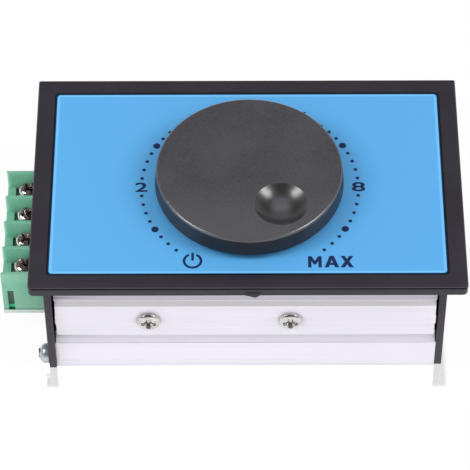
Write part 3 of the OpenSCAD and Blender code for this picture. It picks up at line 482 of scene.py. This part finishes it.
def plated_steel(name="plated_steel", dark=(188, 187, 186), light=(238, 237, 233), roughness=0.16, dirt_and_shade_share=0.85,
                 wavy=0.00002):
    """Plated steel: shallow dents, tool marks, faint scratches, and brown darkening down in its recesses that
    is partly oil and dirt and partly painted shade.
    """
    finish = Finish(name, Metallic=1.0)
    marks = finish.grain(0.0004, detail=4, rough=0.6)
    cloud = finish.grain(0.0022, detail=3, seed=4)
    scratch = 1 - finish.cells(0.0011, feature="DISTANCE_TO_EDGE").rise(0.0, 0.03)
    # Brown darkening in recesses: partly dirt, partly painted shade
    dirt_and_shade = finish.grime(0.0011)
    colour = finish.blend((marks * 0.4 + cloud * 0.6).rise(0.3, 0.7), shade(*dark), shade(*light))
    colour = finish.blend(dirt_and_shade * dirt_and_shade_share, colour, shade(78, 52, 44))
    gloss = (marks * 0.5 + cloud * 0.5).level(0.3, 0.7, roughness - 0.06, roughness + 0.08)
    dents = finish.bump(finish.grain(0.0011, detail=2, seed=6), wavy)
    return finish.wire(Base_Color=colour, Roughness=gloss + scratch * 0.05 + dirt_and_shade * 0.2,
                       Normal=finish.bump(marks - scratch * 0.3, 0.000004, under=dents))


def printed_ink():
    """Screen-printed dark ink, a little thin in places."""
    finish = Finish("dial_ink")
    thin = finish.grain(0.0004, detail=4, rough=0.7).rise(0.62, 0.8)
    cloud = finish.grain(0.004, detail=2, seed=2)
    colour = finish.blend(cloud, shade(6, 32, 78), shade(12, 40, 88))
    colour = finish.blend(thin * 0.35, colour, shade(40, 90, 140))
    return finish.wire(Base_Color=colour, Roughness=cloud.level(0.3, 0.7, 0.40, 0.5),
                       Normal=finish.bump(thin, 0.000002))


def board_laminate():
    """Glass laminate under green mask: tracks over the weave on its faces, pale fibres at its sawn edges."""
    finish = Finish("board_laminate")
    x, y, _ = finish.axes()
    normal = finish.node("ShaderNodeNewGeometry", {}, {}, output="Normal")
    tilt = finish.node("ShaderNodeSeparateXYZ", {}, {0: normal}, output="Z")
    face = abs(tilt).rise(0.5, 0.8)
    weave = x.wave(0.0006) * y.wave(0.0006)
    tracks = finish.node("ShaderNodeTexBrick", {"offset": 0.5, "squash": 2.0},
                         {"Vector": finish.place, "Scale": 120.0, "Mortar Size": 0.06, "Mortar Smooth": 0.1},
                         output="Fac")
    mask = finish.blend(tracks, shade(18, 92, 52), shade(38, 128, 74))
    mask = finish.blend(weave * 0.25, mask, shade(66, 146, 90))
    fibres = finish.grain(1.0, detail=3, along=finish.stretched(500, 500, 9000))
    sawn = finish.blend(fibres, shade(205, 228, 218), shade(236, 246, 240))
    height = weave * 0.3 + tracks * 0.7
    return finish.wire(Base_Color=finish.blend(face, sawn, mask), Roughness=fibres.level(0.3, 0.7, 0.25, 0.4),
                       Normal=finish.bump(height, 0.00001))


# Finishes of the parts inside

def wound_sleeve(name, dark, light, gloss=0.3):
    """Shrink film round a can, with faint wrinkles and a cloudy tone."""
    finish = Finish(name, Coat_Weight=0.3, Coat_Roughness=0.15)
    wrinkles = finish.grain(1.0, detail=3, along=finish.stretched(900, 900, 200))
    cloud = finish.grain(0.004, detail=2, seed=6)
    colour = finish.blend((wrinkles * 0.5 + cloud * 0.5).rise(0.3, 0.7), shade(*dark), shade(*light))
    return finish.wire(Base_Color=colour, Roughness=cloud.level(0.3, 0.7, gloss - 0.05, gloss + 0.08),
                       Normal=finish.bump(wrinkles, 0.00002))


def moulded_epoxy():
    """Black filled epoxy: dull, with filler specks and a cloudy gloss."""
    finish = Finish("moulded_epoxy")
    speck = finish.cells(0.0002).rise(0.0, 0.5)
    cloud = finish.grain(0.003, detail=3, seed=8)
    colour = finish.blend(speck * 0.5 + cloud * 0.5, shade(52, 51, 53), shade(38, 37, 39))
    return finish.wire(Base_Color=colour, Roughness=cloud.level(0.3, 0.7, 0.48, 0.66),
                       Normal=finish.bump(speck, 0.000012))


def banded_resistor():
    """Beige lacquer with four colour bands round each body."""
    finish = Finish("resistor_lacquer", Coat_Weight=0.4, Coat_Roughness=0.2)
    x, _, _ = finish.axes()
    cloud = finish.grain(0.0012, detail=3)
    colour = finish.blend(cloud, shade(206, 186, 142), shade(222, 206, 168))
    low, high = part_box("resistors")
    length = 0.0064
    rings = ((-0.0021, (120, 66, 30)), (-0.0008, (28, 26, 26)), (0.0005, (196, 60, 34)),
             (0.0021, (190, 150, 60)))
    for middle in (low.x + length / 2, high.x - length / 2):
        for reach, band in rings:
            across = 1 - abs(x - (middle + reach)).rise(0.00032, 0.00042)
            colour = finish.blend(across, colour, shade(*band))
    return finish.wire(Base_Color=colour, Roughness=cloud.level(0.3, 0.7, 0.3, 0.42),
                       Normal=finish.bump(cloud, 0.00001))


def cast_or_soldered(name, dark, light, roughness, size=0.0008, depth=0.00003):
    """Metal that has set from the melt: uneven, with dull and bright patches."""
    finish = Finish(name, Metallic=1.0)
    lumps = finish.grain(size, detail=4, rough=0.6)
    cloud = finish.grain(size * 5, detail=2, seed=4)
    colour = finish.blend((lumps * 0.5 + cloud * 0.5).rise(0.3, 0.7), shade(*dark), shade(*light))
    return finish.wire(Base_Color=colour, Roughness=lumps.level(0.3, 0.7, roughness - 0.08, roughness + 0.1),
                       Normal=finish.bump(lumps, depth))


def track_board():
    """Brown paper laminate with a black carbon track round the shaft."""
    finish = Finish("track_board")
    low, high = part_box("pot_shaft")
    fibre = finish.grain(0.0005, detail=4, rough=0.65)
    colour = finish.blend(fibre, shade(122, 78, 42), shade(160, 112, 66))
    carbon = finish.away_from((low + high) / 2).band(0.0046, 0.0048, 0.0066, 0.0068)
    colour = finish.blend(carbon * 0.85, colour, shade(30, 29, 30))
    return finish.wire(Base_Color=colour, Roughness=fibre.level(0.3, 0.7, 0.45, 0.62),
                       Normal=finish.bump(fibre, 0.00001))


def wear(material, *names):
    """Gives CAD nodes their finish in each of their material slots."""
    for name in names:
        for slot in nodes[name].material_slots:
            slot.material = material


def dress_inside():
    """The finishes of everything under the panel."""
    wear(drawn_metal("knob_brass", (178, 140, 70), (212, 176, 104), 0.26, (9000, 9000, 900)), "knob_sleeve")
    wear(drawn_metal("turned_steel", (150, 150, 154), (196, 196, 200), 0.28, (600, 600, 9000)), "pot_shaft")
    wear(track_board(), "pot_wiper", "pot_track")
    wear(cast_or_soldered("zinc_casting", (132, 134, 138), (176, 177, 180), 0.42), "pot_bushing")
    wear(drawn_metal("drawn_can", (186, 188, 192), (222, 223, 226), 0.3, (900, 900, 9000)), "pot_can",
         "capacitor_cans")
    tinned = drawn_metal("tinned_metal", (186, 186, 184), (226, 226, 222), 0.3, (7000, 7000, 700))
    wear(tinned, "pot_lugs", "switch_lugs", "device_tabs", "chip_pins", "component_leads", "wire_links",
         "header_pins")
    wear(drawn_metal("contact_metal", (170, 170, 168), (214, 214, 210), 0.34, (7000, 7000, 700),
                     hidden_shade=0.004), "terminal_contacts")
    wear(moulded_plastic("switch_plastic", shade(36, 35, 38), shade(52, 51, 54), 0.42), "pot_switch")
    wear(moulded_plastic("grey_silicone", shade(150, 152, 156), shade(172, 174, 178), 0.6, speck=0.0004,
                         depth=0.00002), "insulating_pads")
    wear(moulded_epoxy(), "device_bodies", "control_chip", "regulator")
    wear(wound_sleeve("sleeve_film", (24, 26, 40), (40, 44, 66)), "capacitor_sleeves")
    wear(wound_sleeve("blue_sleeve", (34, 78, 150), (60, 108, 180)), "small_capacitors")
    wear(moulded_plastic("film_red", shade(150, 34, 26), shade(176, 50, 38), 0.24, depth=0.00003,
                         Coat_Weight=0.5, Coat_Roughness=0.12), "film_capacitor")
    wear(moulded_plastic("ceramic_disc", shade(196, 132, 58), shade(214, 154, 80), 0.34, depth=0.00004),
         "ceramic_capacitors")
    wear(banded_resistor(), "resistors")
    wear(moulded_plastic("nylon", shade(232, 228, 214), shade(242, 239, 228), 0.38, Subsurface_Weight=0.2,
                         Subsurface_Scale=0.001), "board_headers", "wire_plugs")
    wear(moulded_plastic("wire_red", shade(168, 30, 28), shade(188, 44, 40), 0.34, speck=0.0008,
                         depth=0.00002), "pot_wires")
    wear(cast_or_soldered("solder", (176, 178, 182), (222, 223, 226), 0.26), "solder_joints")


# Working a piece by hand

def alone(piece):
    """Makes a piece the only one selected, and the active one."""
    bpy.ops.object.select_all(action="DESELECT")
    piece.select_set(True)
    bpy.context.view_layer.objects.active = piece


def freeze(piece):
    """Puts a piece's place, turn and scale in its mesh."""
    alone(piece)
    bpy.ops.object.transform_apply(location=True, rotation=True, scale=True)


def pick(piece, test, kind="FACE"):
    """Opens a piece with only those faces, edges or corners selected that pass the test."""
    alone(piece)
    bpy.ops.object.mode_set(mode="EDIT")
    bpy.ops.mesh.select_mode(type=kind)
    bpy.ops.mesh.select_all(action="DESELECT")
    bpy.ops.object.mode_set(mode="OBJECT")
    parts = {"FACE": piece.data.polygons, "EDGE": piece.data.edges, "VERT": piece.data.vertices}[kind]
    for part in parts:
        part.select = test(part)
    bpy.ops.object.mode_set(mode="EDIT")


def close(piece):
    """Merges doubles, turns the faces outwards and closes the piece again."""
    alone(piece)
    bpy.ops.object.mode_set(mode="EDIT")
    bpy.ops.mesh.select_all(action="SELECT")
    bpy.ops.mesh.remove_doubles(threshold=0.000001)
    bpy.ops.mesh.normals_make_consistent(inside=False)
    bpy.ops.object.mode_set(mode="OBJECT")


def ease(piece, width, segments=2, sharp=30):
    """Breaks a piece's sharp edges, and gives the piece back."""
    alone(piece)
    edges = piece.modifiers.new("eased_edges", "BEVEL")
    edges.width = width * MM
    edges.segments = segments
    edges.limit_method = "ANGLE"
    edges.angle_limit = math.radians(sharp)
    edges.use_clamp_overlap = False
    edges.harden_normals = False
    bpy.ops.object.modifier_apply(modifier=edges.name)
    return piece


def carve(piece, cutter):
    """Takes a cutter's shape out of a piece, and puts the cutter away."""
    alone(piece)
    cut = piece.modifiers.new("carved", "BOOLEAN")
    cut.operation = "DIFFERENCE"
    cut.solver = "EXACT"
    cut.object = cutter
    bpy.ops.object.modifier_apply(modifier=cut.name)
    bpy.data.objects.remove(cutter)


def settle(piece, name, body, material, stands_for=(), smooth=35):
    """Puts a finished piece's place in its mesh, shades it and hands it to its body."""
    piece.name = name
    piece.data.name = name
    freeze(piece)
    bpy.ops.object.shade_smooth_by_angle(angle=math.radians(smooth))
    piece.data.materials.clear()
    piece.data.materials.append(material)
    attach(piece, body)
    if stands_for:
        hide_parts(*stands_for)
    piece.select_set(False)
    return piece


def copied(piece, turn=(0, 0, 0), place=(0, 0, 0)):
    """Another of a piece, with its own mesh, turned in degrees and moved in millimetres."""
    other = piece.copy()
    other.data = piece.data.copy()
    bpy.context.scene.collection.objects.link(other)
    other.rotation_euler = [math.radians(angle) for angle in turn]
    other.location = [step * MM for step in place]
    return other


def joined(pieces):
    """Several pieces made one object."""
    bpy.ops.object.select_all(action="DESELECT")
    for piece in pieces:
        piece.select_set(True)
    bpy.context.view_layer.objects.active = pieces[0]
    bpy.ops.object.transform_apply(location=True, rotation=True, scale=True)
    bpy.ops.object.join()
    return pieces[0]


def turned(outline, steps=48, angle=360):
    """A round piece about Z: one corner is drawn out along the outline in millimetres, and spun."""
    bpy.ops.object.select_all(action="DESELECT")
    bpy.ops.mesh.primitive_plane_add(size=MM)
    piece = bpy.context.object
    bpy.ops.object.mode_set(mode="EDIT")
    bpy.ops.mesh.select_mode(type="VERT")
    bpy.ops.mesh.merge(type="CENTER")
    bpy.ops.transform.translate(value=(outline[0][0] * MM, 0, outline[0][1] * MM))
    for (r0, z0), (r1, z1) in zip(outline, outline[1:]):
        step = {"value": ((r1 - r0) * MM, 0, (z1 - z0) * MM)}
        bpy.ops.mesh.extrude_region_move(TRANSFORM_OT_translate=step)
    bpy.ops.mesh.select_all(action="SELECT")
    bpy.ops.mesh.spin(steps=steps, angle=math.radians(angle), center=(0, 0, 0), axis=(0, 0, 1))
    bpy.ops.object.mode_set(mode="OBJECT")
    close(piece)
    return piece


def joined_copy(name):
    """A copy of a CAD node whose loose triangles are joined."""
    piece = bpy.data.objects.new(name + "_eased", nodes[name].data.copy())
    bpy.context.scene.collection.objects.link(piece)
    alone(piece)
    bpy.ops.mesh.customdata_custom_splitnormals_clear()
    bpy.ops.object.mode_set(mode="EDIT")
    bpy.ops.mesh.select_all(action="SELECT")
    bpy.ops.mesh.remove_doubles(threshold=0.000001)
    bpy.ops.mesh.dissolve_limited(angle_limit=math.radians(0.5))
    bpy.ops.object.mode_set(mode="OBJECT")
    return piece


# Case

def panel_with_lip():
    """The panel, whose rim and nub hang a little lower than the CAD's eased edge."""
    rim_drop = 0.85
    nub_drop = 0.3
    panel = joined_copy("front_panel")
    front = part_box("channel")[0].y
    rim_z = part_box("channel")[1].z
    pick(panel, lambda corner: rim_z + 0.0004 < corner.co.z < rim_z + 0.0006, "VERT")
    bpy.ops.transform.translate(value=(0, 0, -rim_drop * MM))
    bpy.ops.object.mode_set(mode="OBJECT")
    pick(panel, lambda corner: corner.co.y < front - 0.002 and corner.co.z < rim_z - 0.0005, "VERT")
    bpy.ops.transform.translate(value=(0, 0, -nub_drop * MM))
    bpy.ops.object.mode_set(mode="OBJECT")
    return ease(panel, 0.08)


def is_shoulder(corner):
    """Whether a corner lies where the channel's neck meets the top of its raised pad."""
    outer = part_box("channel")[1].y
    close_by = 0.00005
    return abs(abs(corner.co.y) - outer + NECK_SETBACK) < close_by and abs(corner.co.z - PAD_TOP) < close_by


def channel_with_gaps():
    """The channel, with sloped shoulders, its raised pads sawn a little short of the end plates."""
    channel = joined_copy("channel")
    pick(channel, is_shoulder, "VERT")
    bpy.ops.transform.translate(value=(0, 0, NECK_SETBACK))
    bpy.ops.object.mode_set(mode="OBJECT")
    # Each cut's foot, its height and how far in it goes, in millimetres
    ragged = ((11.4, 4.0, 0.3), (15.1, 5.2, 0.75), (19.8, 4.6, 0.55), (24.0, 5.7, 0.7), (29.6, 9.0, 0.45))
    cutter_depth = 9
    wall_y = 34.9
    for side in (-1, 1):
        for front in (-1, 1):
            for low, height, short in ragged:
                bpy.ops.mesh.primitive_cube_add(size=MM)
                cutter = bpy.context.object
                cutter.scale = (2 * short, cutter_depth, height)
                cutter.location = (side * CHANNEL_END, front * wall_y * MM, (low + height / 2) * MM)
                carve(channel, cutter)
    return ease(channel, 0.10)


def round_foot(plate, radius):
    """Rounds the two long edges that a plate stands on."""
    corners = plate.data.vertices

    def underneath(edge):
        one, two = [corners[number].co for number in edge.vertices]
        return max(one.z, two.z) < 0.0001 and abs(one.x - two.x) < 0.00001 and abs(one.y - two.y) > 0.02

    pick(plate, underneath, "EDGE")
    bpy.ops.mesh.bevel(offset=radius * MM, segments=4, affect="EDGES")
    bpy.ops.object.mode_set(mode="OBJECT")


def soften_case():
    """The visible case pieces, with the small edge breaks that moulding and sawing leave."""
    plates = moulded_plastic("plate_plastic", shade(40, 33, 44), shade(50, 43, 55), 0.46,
                             worn=shade(94, 90, 98), gap_shade=0.0016)
    groove_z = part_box("front_panel")[1].z - 0.00115
    panel = moulded_plastic("panel_plastic", shade(39, 34, 44), shade(49, 44, 55), 0.44,
                            worn=shade(88, 86, 94), rim=groove_z)
    settle(channel_with_gaps(), "extruded_channel", "case", extruded_aluminium(), ["channel"])
    for side, width in (("left", 0.25), ("right", 0.10)):
        node = side + "_end_plate"
        plate = joined_copy(node)
        if side == "left":
            round_foot(plate, 0.8)
        settle(ease(plate, width), node + "_moulded", "case", plates, [node])
    settle(panel_with_lip(), "panel_moulded", "case", panel, ["front_panel"])
    block = ease(joined_copy("terminal_housing"), 0.12)
    settle(block, "terminal_block", "case", terminal_green(), ["terminal_housing"])


# Screws

def cross_cutter(reach, width, depth):
    """The tapered four-winged driver point that presses a screw's recess, standing a little proud."""
    proud = 0.1
    wings = []
    bpy.ops.mesh.primitive_cone_add(vertices=16, radius1=0.15 * reach * MM, radius2=0.72 * reach * MM,
                                    depth=depth * MM, location=(0, 0, (proud - depth / 2) * MM))
    point = bpy.context.object
    freeze(point)
    wings.append(point)
    for turn in (0, 90):
        bpy.ops.mesh.primitive_cube_add(size=1)
        wing = bpy.context.object
        wing.scale = (2 * reach * MM, width * MM, depth * MM)
        wing.location = (0, 0, -depth * MM / 2 + proud * MM)
        freeze(wing)
        pick(wing, lambda face: face.normal.z < -0.9)
        bpy.ops.transform.resize(value=(0.42, 0.55, 1))
        bpy.ops.object.mode_set(mode="OBJECT")
        wing.rotation_euler = (0, 0, math.radians(turn))
        freeze(wing)
        wings.append(wing)
    return wings


def threaded(shank_r, shank_l, pitch, depth):
    """The outline of a screw's shank, from its point up to its head's underside."""
    turns = int(shank_l / pitch)
    rows = [(0.0, -shank_l), (shank_r - depth, -shank_l)]
    for i in range(turns):
        rows.append((shank_r - depth, -shank_l + (i + 0.15) * pitch))
        rows.append((shank_r, -shank_l + (i + 0.5) * pitch))
        rows.append((shank_r - depth, -shank_l + (i + 0.85) * pitch))
    rows.append((shank_r - depth, 0.0))
    return rows


def pan_screw(head_r, head_h, shank_r, shank_l, pitch, rim_share=0.35, recess=0.56):
    """A pan-head screw standing on Z = 0, its thread below and a pressed cross in its crown."""
    rim = rim_share * head_h
    rise = head_h - rim
    outline = threaded(shank_r, shank_l, pitch, 0.14 * shank_r)
    outline += [(head_r - 0.12, 0.0), (head_r, 0.12), (head_r, rim)]
    dome_steps = 8
    fullness = 1.12
    for i in range(1, dome_steps + 1):
        swing = math.radians(90 * i / dome_steps)
        reach = head_r * (1 - (1 - math.cos(swing)) ** fullness) if i < dome_steps else 0.0
        outline.append((reach, rim + rise * math.sin(swing)))
    screw = turned(outline)
    for wing in cross_cutter(recess * head_r, 0.42 * head_r, 0.95 * head_h):
        wing.location.z = head_h * MM
        carve(screw, wing)
    ease(screw, 0.04, sharp=48)
    return screw


def flush_screw(head_r, shank_r, shank_l, pitch):
    """A countersunk screw whose head ends at Z = 0."""
    head_h = head_r - shank_r
    outline = [(r, z - head_h) for r, z in threaded(shank_r, shank_l - head_h, pitch, 0.14 * shank_r)]
    outline += [(shank_r, -head_h), (head_r, -0.06), (head_r - 0.06, 0.0), (0.0, 0.0)]
    screw = turned(outline)
    for wing in cross_cutter(0.6 * head_r, 0.24 * head_r, 1.4):
        carve(screw, wing)
    ease(screw, 0.04, sharp=48)
    return screw


def fit_screws(steel):
    """The screws of the front wall and of both end plates, each set where the CAD has it."""
    low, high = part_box("device_screws")
    outer_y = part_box("channel")[0].y / MM
    head_r = 3.4
    head_h = outer_y - low.y / MM
    shank_l = high.y / MM - outer_y
    screw = pan_screw(head_r, head_h, 1.45, shank_l, 0.5, recess=0.72)
    middle_z = (low.z + high.z) / 2 / MM
    spots = [low.x / MM + head_r, high.x / MM - head_r]
    made = [copied(screw, (90, 0, 0), (x, outer_y, middle_z)) for x in spots]
    bpy.data.objects.remove(screw)
    settle(joined(made), "device_screw_pair", "case", steel, ["device_screws"])

    zinc = plated_steel("bright_zinc", (164, 172, 180), (216, 222, 230), 0.34)
    shank_r, pitch = 1.35, 1.0
    low_y, low_z = 32.2, 3.3
    high_y, high_z = 31.0, 33.1
    for side, sign in (("left", -1), ("right", 1)):
        node = side + "_plate_screws"
        low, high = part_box(node)
        if sign < 0:
            start = PLATE_END
            shank_l = high.x / MM - start
            low_screw = pan_screw(3.0, start - low.x / MM, shank_r, shank_l, pitch, rim_share=0.3)
            high_screw = pan_screw(2.1, 1.2, shank_r, shank_l, pitch, rim_share=0.6)
        else:
            start = high.x / MM
            low_screw = flush_screw(high.y / MM - low_y, shank_r, start - low.x / MM, pitch)
            high_screw = copied(low_screw)
        made = []
        for screw, y, z in ((low_screw, low_y, low_z), (high_screw, high_y, high_z)):
            made += [copied(screw, (0, 90 * sign, 0), (start, front * y, z)) for front in (-1, 1)]
            bpy.data.objects.remove(screw)
        settle(joined(made), node + "_set", "case", zinc, [node])


def fit_clamps(steel):
    """Each terminal's screw and clamp plate; a screw rides on its own body, because it turns."""
    low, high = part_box("clamp_screw_1")
    plate_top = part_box("clamp_plate_1")[1].z / MM
    radius = (high.x - low.x) / 2 / MM
    head_h = high.z / MM - plate_top
    shank_l = plate_top - low.z / MM
    screw = pan_screw(radius, head_h, 1.4, shank_l, 0.5, rim_share=0.62, recess=0.72)
    for number, turn in zip(range(1, 5), (38, 52, 30, 44)):
        node = f"clamp_screw_{number}"
        low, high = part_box(node)
        place = ((low.x + high.x) / 2 / MM, (low.y + high.y) / 2 / MM, plate_top)
        one = copied(screw, (0, 0, turn), place)
        settle(one, node + "_cut", f"screw_{number}", steel, [node])
        node = f"clamp_plate_{number}"
        plate = ease(joined_copy(node), 0.15)
        settle(plate, node + "_pressed", f"clamp_{number}", steel, [node])
    bpy.data.objects.remove(screw)


# Dial print

# The middle of the dial's print, the radius of its ring of marks and the ink's thickness, in millimetres
DIAL = Vector((1.41, -2.0, LABEL_TOP))
DIAL_R = 31.11
INK_T = 0.012


def on_dial(share, radius=DIAL_R):
    """The place of a mark on the dial's ring, by its share of ten from off to full."""
    angle = math.radians(240 - 30 * share)
    return Vector((radius * math.cos(angle), radius * math.sin(angle), -0.004)) + DIAL


def dot(radius):
    """One round mark, standing a hair above the film."""
    bpy.ops.object.select_all(action="DESELECT")
    bpy.ops.mesh.primitive_circle_add(vertices=20, radius=radius * MM, fill_type="NGON")
    mark = bpy.context.object
    bpy.ops.object.mode_set(mode="EDIT")
    bpy.ops.mesh.select_all(action="SELECT")
    bpy.ops.mesh.extrude_region_move(TRANSFORM_OT_translate={"value": (0, 0, INK_T * MM)})
    bpy.ops.object.mode_set(mode="OBJECT")
    close(mark)
    return mark


def lettered(text, width, height, weight):
    """Flat figures or letters of that size in millimetres, about their own middle."""
    bpy.ops.object.text_add()
    sign = bpy.context.object
    sign.data.body = text
    sign.data.size = 1
    sign.data.offset = weight
    sign.data.extrude = 0.01
    sign.data.resolution_u = 6
    alone(sign)
    bpy.ops.object.convert(target="MESH")
    sign = bpy.context.object
    bpy.ops.object.origin_set(type="ORIGIN_GEOMETRY", center="BOUNDS")
    size = sign.dimensions.copy()
    sign.location = (0, 0, INK_T * MM / 2)
    sign.scale = (width * MM / size.x, height * MM / size.y, INK_T * MM / size.z)
    bpy.ops.object.transform_apply(location=True, rotation=True, scale=True)
    close(sign)
    return sign


def block_letters(outlines):
    """Flat letters cut from outlines in millimetres, about their own middle."""
    bpy.ops.object.select_all(action="DESELECT")
    drawing = bpy.data.curves.new("letters", "CURVE")
    drawing.dimensions = "2D"
    drawing.fill_mode = "BOTH"
    drawing.extrude = INK_T * MM / 2
    for outline in outlines:
        line = drawing.splines.new("POLY")
        line.points.add(len(outline) - 1)
        line.use_cyclic_u = True
        for point, (x, y) in zip(line.points, outline):
            point.co = (x * MM, y * MM, 0, 1)
    sign = bpy.data.objects.new("letters", drawing)
    bpy.context.scene.collection.objects.link(sign)
    alone(sign)
    bpy.ops.object.convert(target="MESH")
    sign = bpy.context.object
    bpy.ops.object.origin_set(type="ORIGIN_GEOMETRY", center="BOUNDS")
    sign.location = (0, 0, INK_T * MM / 2)
    bpy.ops.object.transform_apply(location=True, rotation=True, scale=True)
    close(sign)
    return sign


def end_letters():
    """MAX, in wide bold capitals."""
    m = [(0, 0), (0, 4), (1.0, 4), (1.92, 2.3), (2.83, 4), (3.83, 4), (3.83, 0), (2.88, 0), (2.88, 2.3),
         (2.2, 1.05), (1.63, 1.05), (0.95, 2.3), (0.95, 0)]
    a = [(0, 0), (1.45, 4.1), (2.65, 4.1), (4.1, 0), (2.95, 0), (2.66, 0.85), (1.44, 0.85), (1.15, 0)]
    a_hole = [(1.72, 1.65), (2.38, 1.65), (2.05, 2.75)]
    x = [(0, 0), (1.25, 2.1), (0.08, 4.1), (1.3, 4.1), (1.9, 3.0), (2.5, 4.1), (3.72, 4.1), (2.55, 2.1),
         (3.8, 0), (2.55, 0), (1.9, 1.1), (1.25, 0)]
    moved = []
    for outline, step in ((m, 0), (a, 4.6), (a_hole, 4.6), (x, 9.05)):
        moved.append([(px + step, py) for px, py in outline])
    return block_letters(moved)


def figure_four():
    """A plain 4, whose counter stays open."""
    outer = [(0, 0.85), (0, 1.5), (1.75, 3.5), (2.6, 3.5), (2.6, 1.55), (3.15, 1.55), (3.15, 0.85),
             (2.6, 0.85), (2.6, 0), (1.8, 0), (1.8, 0.85)]
    return block_letters([outer, [(0.85, 1.55), (1.8, 1.55), (1.8, 2.65)]])


def power_sign(radius, stroke, foot, top):
    """The sign for off: a ring open at its top, with an upright stroke in the gap."""
    ring = turned([(radius - stroke / 2, 0), (radius + stroke / 2, 0), (radius + stroke / 2, INK_T),
                   (radius - stroke / 2, INK_T), (radius - stroke / 2, 0)], steps=40, angle=310)
    ring.rotation_euler = (0, 0, math.radians(65))
    alone(ring)
    bpy.ops.object.mode_set(mode="EDIT")
    bpy.ops.mesh.select_all(action="SELECT")
    bpy.ops.mesh.fill_holes(sides=4)
    bpy.ops.mesh.normals_make_consistent(inside=False)
    bpy.ops.object.mode_set(mode="OBJECT")
    half = stroke / 2
    cut = 0.1
    tall = top - foot
    bar = block_letters([[(-half, cut), (-half + cut, 0), (half - cut, 0), (half, cut), (half, tall - cut),
                          (half - cut, tall), (-half + cut, tall), (-half, tall - cut)]])
    bar.location = (0, (foot + top) / 2 * MM, 0)
    return joined([ring, bar])


def print_dial():
    """The dial's dots, figures and end marks."""
    small, large = dot(0.54), dot(1.07)
    marks = []
    for step in range(1, 50):
        share = step / 5
        if step in (1, 49) or share in (2, 4, 6, 8):
            continue
        kind = large if share in (1, 3, 5, 7, 9) else small
        marks.append(copied(kind, place=on_dial(share)))
    for share in (2, 4, 6, 8):
        width = 3.9 if share == 8 else 3.5
        figure = figure_four() if share == 4 else lettered(str(share), width, 3.5, 0.02)
        marks.append(copied(figure, place=on_dial(share)))
        bpy.data.objects.remove(figure)
    end = end_letters()
    end.location = Vector((24.03, -29.35, LABEL_TOP - 0.004)) * MM
    off = power_sign(2.38, 0.74, 0.1, 3.0)
    off.location = Vector((-14.8, -28.95, LABEL_TOP - 0.004)) * MM
    marks += [end, off]
    for kind in (small, large):
        bpy.data.objects.remove(kind)
    settle(joined(marks), "dial_print", "case", printed_ink())


place_camera()
light_room()
lay_floor()

steel = plated_steel()
wear(steel, *nodes)
wear(satin_knob(), "speed_knob")
wear(label_film(), "face_label")
wear(board_laminate(), "circuit_board")
dress_inside()

soften_case()
fit_screws(steel)
fit_clamps(plated_steel("clamp_steel", (186, 178, 172), (246, 242, 238), 0.07, dirt_and_shade_share=0.7, wavy=0.00016))
print_dial()

bpy.context.scene.view_settings.view_transform = "Standard"
